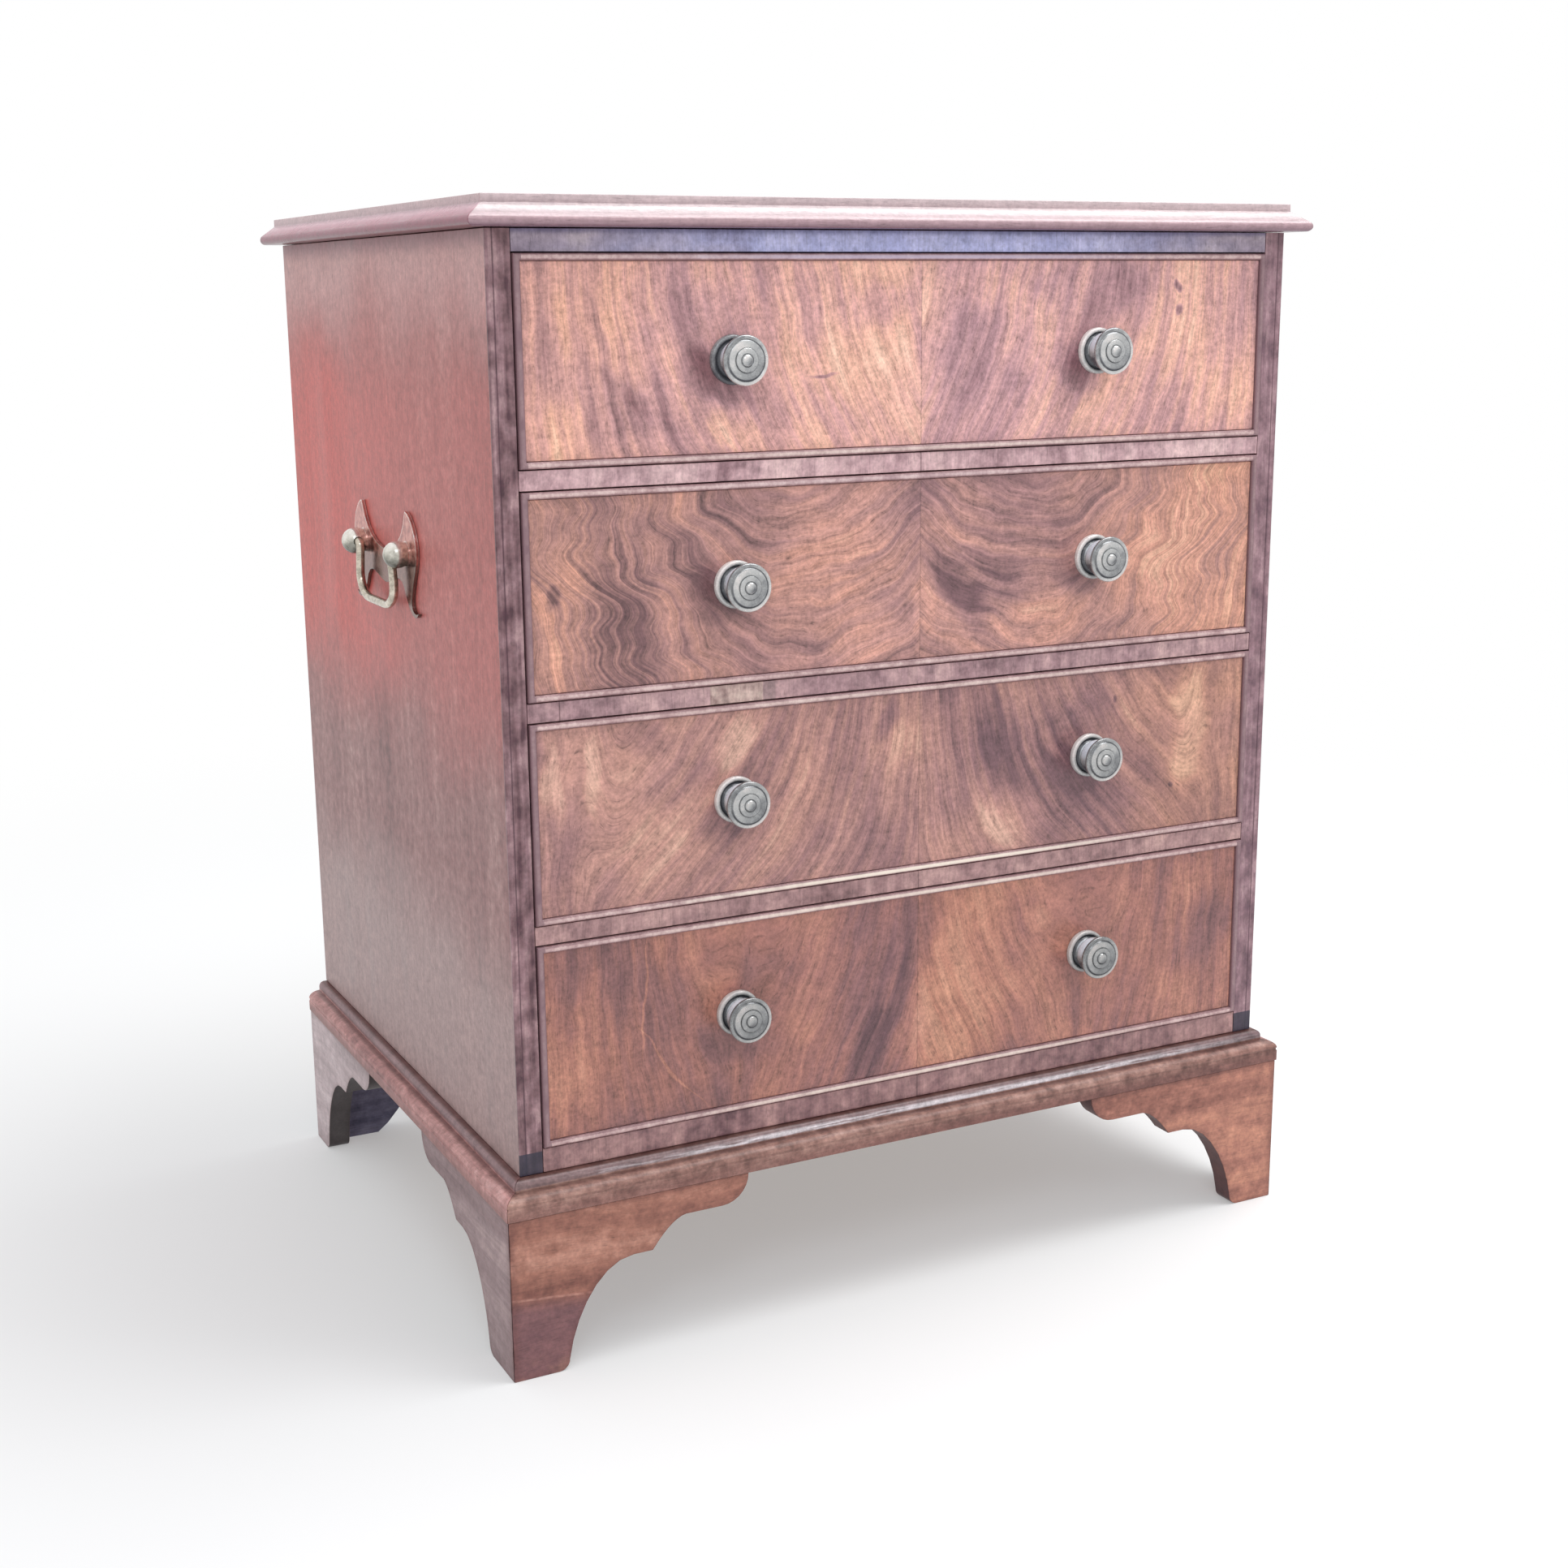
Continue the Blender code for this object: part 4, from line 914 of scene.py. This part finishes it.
# Drawer fronts as the photograph shows them
END = 0.2935  # the outer ends of the veneers, from the middle
FRONTS = {
    1: dict(
        figure=fan_figure(((0, 0.5), (0.08, 0.62), (0.19, 0.56), (0.25, 0.2), (END, 0.02)), 0.32),
        colours=hues((142, 109, 115), (184, 145, 150), (213, 166, 165), (234, 184, 170), (246, 206, 190)),
        shades=((-END, 0.04), (-0.17, -0.02), (-0.03, 0.1), (0.03, 0.0), (0.15, 0.02), (END, 0.1)),
        warmth=(
            (-END, 0.75), (-0.22, 0.6), (-0.17, 0.3), (-0.05, 0.35), (0.05, 0.0), (0.15, 0.2), (END, 0.4),
        ),
        wave=0.006,
        lines=0.07,
        patches=(
            (0.215, 0.7265, 0.004, 0.0035, 0.0, -0.7), (0.2175, 0.711, 0.0035, 0.004, 0.0, -0.7),
            (-0.074, 0.6645, 0.009, 0.0016, 5.0, -0.5), (-0.217, 0.6545, 0.012, 0.02, -1.0, -0.2),
            (-0.236, 0.704, 0.005, 0.02, -0.2, -0.2),
            (-0.262, 0.65, 0.012, 0.05, 0.0, 0.25), (-0.152, 0.633, 0.008, 0.016, -0.7, 0.4),
            (-0.05, 0.665, 0.05, 0.05, -0.5, 0.2), (-0.026, 0.712, 0.02, 0.014, 0.0, -0.2),
            (0.14, 0.69, 0.018, 0.05, 0.35, -0.3), (0.095, 0.69, 0.02, 0.03, 0.4, 0.25),
        ),
    ),
    2: dict(
        figure=bowl_figure((
            (0, 0), (0.05, 0.03), (0.105, 0.044), (0.15, 0.024),
            (0.19, -0.03), (0.24, -0.16), (END, -0.32),
        )),
        colours=hues((126, 100, 105), (166, 130, 131), (190, 147, 142), (211, 160, 149), (232, 186, 170)),
        shades=(
            (-END, -0.08), (-0.17, -0.1), (-0.06, 0.1), (0.02, -0.1),
            (0.13, -0.03), (0.2, 0.12), (END, 0.13),
        ),
        warmth=((-END, 0.7), (-0.2, 0.5), (-0.1, 0.4), (0.0, 0.25), (0.1, 0.3), (0.2, 0.6), (END, 0.75)),
        wave=0.016,
        lines=0.2,
        patches=(
            (0.005, 0.51, 0.009, 0.045, 0.0, 0.2), (0.036, 0.51, 0.014, 0.04, -0.8, -0.34),
            (0.11, 0.488, 0.045, 0.016, 0.0, 0.25), (0.225, 0.54, 0.03, 0.05, 0.4, 0.2),
            (-0.225, 0.51, 0.024, 0.055, 0.0, -0.3), (-0.26, 0.54, 0.02, 0.05, 0.0, 0.15),
            (-0.275, 0.49, 0.012, 0.03, 0.0, 0.2), (-0.268, 0.53, 0.006, 0.007, 0.0, -0.45),
        ),
    ),
    3: dict(
        figure=fan_figure(
            ((0, -0.15), (0.07, -0.7), (0.14, -1.05), (0.22, -0.8), (0.265, -0.1), (END, 0.0)), 0.5,
        ),
        colours=hues((126, 100, 105), (156, 121, 122), (176, 136, 132), (194, 150, 141), (213, 172, 158)),
        shades=(
            (-END, -0.24), (-0.15, 0.06), (-0.02, -0.02), (0.05, 0.0),
            (0.15, -0.1), (0.24, 0.0), (END, -0.08),
        ),
        warmth=(
            (-END, 0.15), (-0.15, 0.2), (-0.05, 0.2), (0.05, 0.15), (0.15, 0.15), (0.24, 0.75), (END, 0.6),
        ),
        wave=0.007,
        lines=0.08,
        patches=(
            (0.073, 0.392, 0.042, 0.06, -0.7, -0.3), (0.075, 0.345, 0.03, 0.02, -0.6, 0.3),
            (0.238, 0.402, 0.017, 0.045, 0.1, 0.45), (0.26, 0.34, 0.024, 0.02, 0.0, -0.2),
            (-0.277, 0.415, 0.008, 0.03, 0.0, 0.4), (-0.246, 0.415, 0.006, 0.03, 0.0, 0.3),
            (-0.15, 0.426, 0.02, 0.016, 0.6, 0.35), (-0.19, 0.378, 0.014, 0.04, 1.1, 0.2),
            (-0.024, 0.428, 0.012, 0.014, 0.3, -0.4), (-0.21, 0.435, 0.02, 0.01, 0.0, -0.25),
            (0.171, 0.427, 0.003, 0.003, 0.0, -0.5), (0.226, 0.353, 0.003, 0.003, 0.0, -0.6),
        ),
    ),
    4: dict(
        figure=fan_figure(
            ((0, -0.4), (0.07, -0.5), (0.14, -0.1), (0.2, 0.25), (0.25, 0.05), (END, 0.0)), 0.6,
        ),
        colours=hues((116, 91, 95), (146, 110, 110), (165, 120, 114), (185, 135, 123), (202, 153, 138)),
        shades=((-END, 0.02), (-0.15, -0.06), (-0.01, 0.04), (0.015, 0.28), (0.12, 0.02), (END, 0.14)),
        warmth=(
            (-END, 0.4), (-0.15, 0.35), (-0.02, 0.0), (0.02, 0.55), (0.1, 0.35), (0.2, 0.2), (END, 0.3),
        ),
        wave=0.007,
        lines=0.08,
        patches=(
            (-0.022, 0.235, 0.026, 0.075, 0.36, -0.34), (-0.012, 0.192, 0.02, 0.02, 0.3, 0.2),
            (-0.258, 0.22, 0.01, 0.06, 0.0, 0.25), (0.1, 0.265, 0.014, 0.012, 0.0, 0.3),
            (-0.215, 0.25, 0.0010, 0.04, 0.1, 0.4), (-0.2, 0.2, 0.0010, 0.03, -0.7, 0.4),
            (0.255, 0.226, 0.03, 0.03, 0.0, -0.15),
        ),
    ),
}
LAVENDER, CREAM = (194, 180, 202), (250, 238, 222)
BEAD_RUNS = {  # how far and to what colour the middle of the top and the foot run are bleached
    1: ((0.7, LAVENDER), (0.2, CREAM)),
    2: ((0.1, LAVENDER), (0.05, CREAM)),
    3: ((0.2, CREAM), (0.85, CREAM)),
    4: ((0.5, CREAM), (0.5, CREAM)),
}

# Tones of the timber, from dark to pale
RAILS = {
    # painted reflection: the top rail's lavender tones stand for the sky mirrored in its polish
    "top_rail": ((162, 162, 200), (182, 184, 224), (194, 194, 230), (208, 206, 236)),
    "divider_1": ((156, 124, 130), (202, 167, 171), (220, 186, 187), (238, 206, 202)),
    "divider_2": ((130, 102, 108), (174, 142, 146), (194, 160, 161), (216, 182, 178)),
    "divider_3": ((126, 98, 100), (171, 137, 137), (192, 156, 153), (214, 178, 170)),
    "bottom_rail": ((106, 80, 86), (155, 121, 122), (176, 140, 138), (200, 160, 154)),
}
RAIL_MARKS = {"top_rail": top_rail_marks, "divider_2": patch_marks}  # the others have a middle seam
SIDE_TONES = ((120, 86, 86), (155, 118, 117), (169, 134, 132), (190, 160, 156))
TOP_TONES = ((120, 92, 94), (158, 124, 122), (178, 144, 138), (200, 168, 160))
MOULDING_TONES = ((106, 80, 76), (150, 116, 108), (170, 136, 126), (196, 164, 154))
SIDE_MOULDING_TONES = ((124, 84, 84), (176, 126, 123), (198, 150, 146), (218, 182, 178))
FOOT_TONES = ((128, 88, 82), (176, 124, 110), (198, 142, 122), (220, 170, 148))
FOOT_WORN_TONE = (96, 70, 68)
SPLICED_TONES = ((104, 72, 70), (148, 104, 94), (168, 120, 106), (194, 146, 130))
RETURN_TONES = ((110, 88, 92), (148, 126, 127), (166, 145, 146), (190, 168, 166))
RETURN_WORN_TONE = (100, 78, 78)
REAR_TONES = ((158, 138, 140), (198, 179, 181), (214, 197, 198), (232, 216, 214))
OAK_TONES = ((128, 98, 74), (168, 134, 104), (186, 154, 124), (204, 176, 148))
PINE_TONES = ((112, 88, 70), (146, 118, 96), (162, 134, 110), (180, 154, 130))
# painted shade: the braces' dark bluish tones are how they look in shade
BRACE_TONES = ((82, 81, 96), (114, 112, 130), (128, 125, 142), (146, 142, 156))


def dress_case():
    """The case: its rails, sides and top, and the pine boards behind them."""
    for name, tones in RAILS.items():
        marks = RAIL_MARKS.get(name, seam_marks)
        dress(name, timber(name, "Z", tones, rough=0.36, over=marks, lines=1.05, mottled=0.28))
    for side, marks in zip(SIDES, (left_side_marks, stile_marks)):
        name = f"side_{side}"
        dress(name, timber(name, "Z", SIDE_TONES, sheen=SIDE_SHEEN, rough=0.4, over=marks, mottled=0.26))
    dress("top_board", timber("top", "X", TOP_TONES, rough=0.24, over=top_marks))
    pine = timber("pine", "X", PINE_TONES, rough=0.68, specular=0.25)
    for name in ("back_panel", "case_bottom", "dustboard_1", "dustboard_2", "dustboard_3"):
        dress(name, pine)


def dress_base():
    """The base: its mouldings, the brackets of its feet and the braces behind the rear ones."""
    front = timber("moulding_front", "X", MOULDING_TONES, over=moulding_marks, mottled=0.34)
    sides = timber("moulding_side", "Y", SIDE_MOULDING_TONES, over=moulding_marks, mottled=0.26)
    faces = dict(worn=FOOT_WORN_TONE, lines=0.8, mottled=0.24)
    spliced = timber("foot_spliced", "X", SPLICED_TONES, over=splice_marks, **faces)
    plain = timber("foot_face", "X", FOOT_TONES, over=face_marks, **faces)
    returns = dict(sheen=RETURN_SHEEN, worn=RETURN_WORN_TONE, over=return_marks, mottled=0.16)
    bracket = timber("foot_return", "Y", RETURN_TONES, **returns)
    rear = timber("foot_rear", "Y", REAR_TONES, **returns)
    brace = timber("brace", "X", BRACE_TONES, rough=0.75, specular=0.2)
    dress("base_moulding_front", front, FINE_ARRIS)
    dress("foot_front_left_face", spliced)
    dress("foot_front_right_face", plain)
    for side in SIDES:
        dress(f"base_moulding_{side}", sides, FINE_ARRIS)
        dress(f"foot_front_{side}_return", bracket)
        dress(f"foot_rear_{side}_return", rear)
        dress(f"foot_rear_{side}_brace", brace)


def dress_drawers():
    """The drawers: veneered fronts, their beads and the oak linings."""
    oak_long = timber("oak_long", "Y", OAK_TONES, rough=0.6, specular=0.3)
    oak_wide = timber("oak_wide", "X", OAK_TONES, rough=0.6, specular=0.3)
    for number in DRAWERS:
        name = f"drawer_{number}"
        dress(f"{name}_front", veneer(number, **FRONTS[number]), FINE_ARRIS)
        dress(f"{name}_bead", cock_bead(number, *BEAD_RUNS[number]), 0.0)
        dress(f"{name}_side_left", oak_long)
        dress(f"{name}_side_right", oak_long)
        dress(f"{name}_back", oak_wide)
        dress(f"{name}_bottom", oak_wide)


def dress_brass():
    """The knobs and the carrying handles."""
    for number, light in zip(DRAWERS, KNOB_LIGHTS):
        add_knobs(number, light)
    metal = bail_brass()
    for side in SIDES:
        dress(f"handle_{side}_plate", plate_brass(side), FINE_ARRIS)
        dress(f"handle_{side}_bail", metal, 0.0)


# Studio
def add_floor():
    """A pale floor that keeps the shadow near the chest and goes over to plain white further out."""
    mesh = bpy.data.meshes.new("floor")
    shape = bmesh.new()
    bmesh.ops.create_grid(shape, x_segments=1, y_segments=1, size=FLOOR_SIZE / 2)
    shape.to_mesh(mesh)
    shape.free()
    floor = bpy.data.objects.new("floor", mesh)
    bpy.context.scene.collection.objects.link(floor)
    graph = Graph("floor")
    tree = graph.tree
    tree.nodes.remove(graph.surface)
    x, y, z = graph.place()
    distance = graph.math("SQRT", x * x + y * y)
    diffuse = graph.add("BsdfDiffuse")
    diffuse.inputs["Color"].default_value = FLOOR_COLOUR + (1.0,)
    ground = graph.add("Emission")
    blend = graph.add("MixShader")
    graph.feed(blend.inputs[0], FLOOR_GLOW + distance.rise(*FLOOR_FADE) * (1.0 - FLOOR_GLOW))
    graph.feed(blend.inputs[1], diffuse.outputs[0])
    graph.feed(blend.inputs[2], ground.outputs[0])
    graph.feed(tree.nodes["Material Output"].inputs["Surface"], blend.outputs[0])
    mesh.materials.append(graph.material)


def add_world():
    """An even sky for light, and plain white where the camera or a reflection sees it."""
    world = bpy.data.worlds.new("studio")
    world.use_nodes = True
    tree = world.node_tree
    sky = tree.nodes["Background"]
    sky.inputs["Color"].default_value = SKY_COLOUR + (1.0,)
    sky.inputs["Strength"].default_value = SKY_STRENGTH
    white = tree.nodes.new("ShaderNodeBackground")
    white.inputs["Color"].default_value = (1, 1, 1, 1)
    path = tree.nodes.new("ShaderNodeLightPath")
    seen = path.outputs["Is Camera Ray"]
    for name in ("Is Glossy Ray", "Is Transmission Ray"):
        either = tree.nodes.new("ShaderNodeMath")
        either.operation = "MAXIMUM"
        tree.links.new(seen, either.inputs[0])
        tree.links.new(path.outputs[name], either.inputs[1])
        seen = either.outputs[0]
    blend = tree.nodes.new("ShaderNodeMixShader")
    tree.links.new(seen, blend.inputs[0])
    tree.links.new(sky.outputs[0], blend.inputs[1])
    tree.links.new(white.outputs[0], blend.inputs[2])
    tree.links.new(blend.outputs[0], tree.nodes["World Output"].inputs["Surface"])
    bpy.context.scene.world = world


def add_lamp(name, place, size, power, colour):
    """A square lamp turned towards the chest."""
    light = bpy.data.lights.new(name, "AREA")
    light.shape = "SQUARE"
    light.size = size
    light.energy = power
    light.color = colour
    obj = bpy.data.objects.new(name, light)
    bpy.context.scene.collection.objects.link(obj)
    obj.location = place
    middle = (cad_bounds[0] + cad_bounds[1]) / 2
    obj.rotation_euler = (middle - obj.location).to_track_quat("-Z", "Y").to_euler()


def add_camera():
    """The camera that took the photograph."""
    camera = bpy.data.cameras.new("camera")
    camera.sensor_width = SENSOR_MM
    camera.lens = LENS_MM
    obj = bpy.data.objects.new("camera", camera)
    bpy.context.scene.collection.objects.link(obj)
    heading = Matrix.Rotation(math.radians(-CAMERA_HEADING), 4, "Z")
    tilt = Matrix.Rotation(math.radians(90 + CAMERA_TILT), 4, "X")
    roll = Matrix.Rotation(math.radians(CAMERA_ROLL), 4, "Z")
    obj.matrix_world = Matrix.Translation(CAMERA_PLACE) @ heading @ tilt @ roll
    bpy.context.scene.camera = obj


dress_case()
dress_base()
dress_drawers()
dress_brass()
add_floor()
add_world()
add_lamp("softbox", SOFTBOX_PLACE, SOFTBOX_SIZE, SOFTBOX_POWER, SOFTBOX_COLOUR)
add_lamp("window", WINDOW_PLACE, WINDOW_SIZE, WINDOW_POWER, WINDOW_COLOUR)
add_camera()
bpy.context.scene.view_settings.view_transform = "Standard"
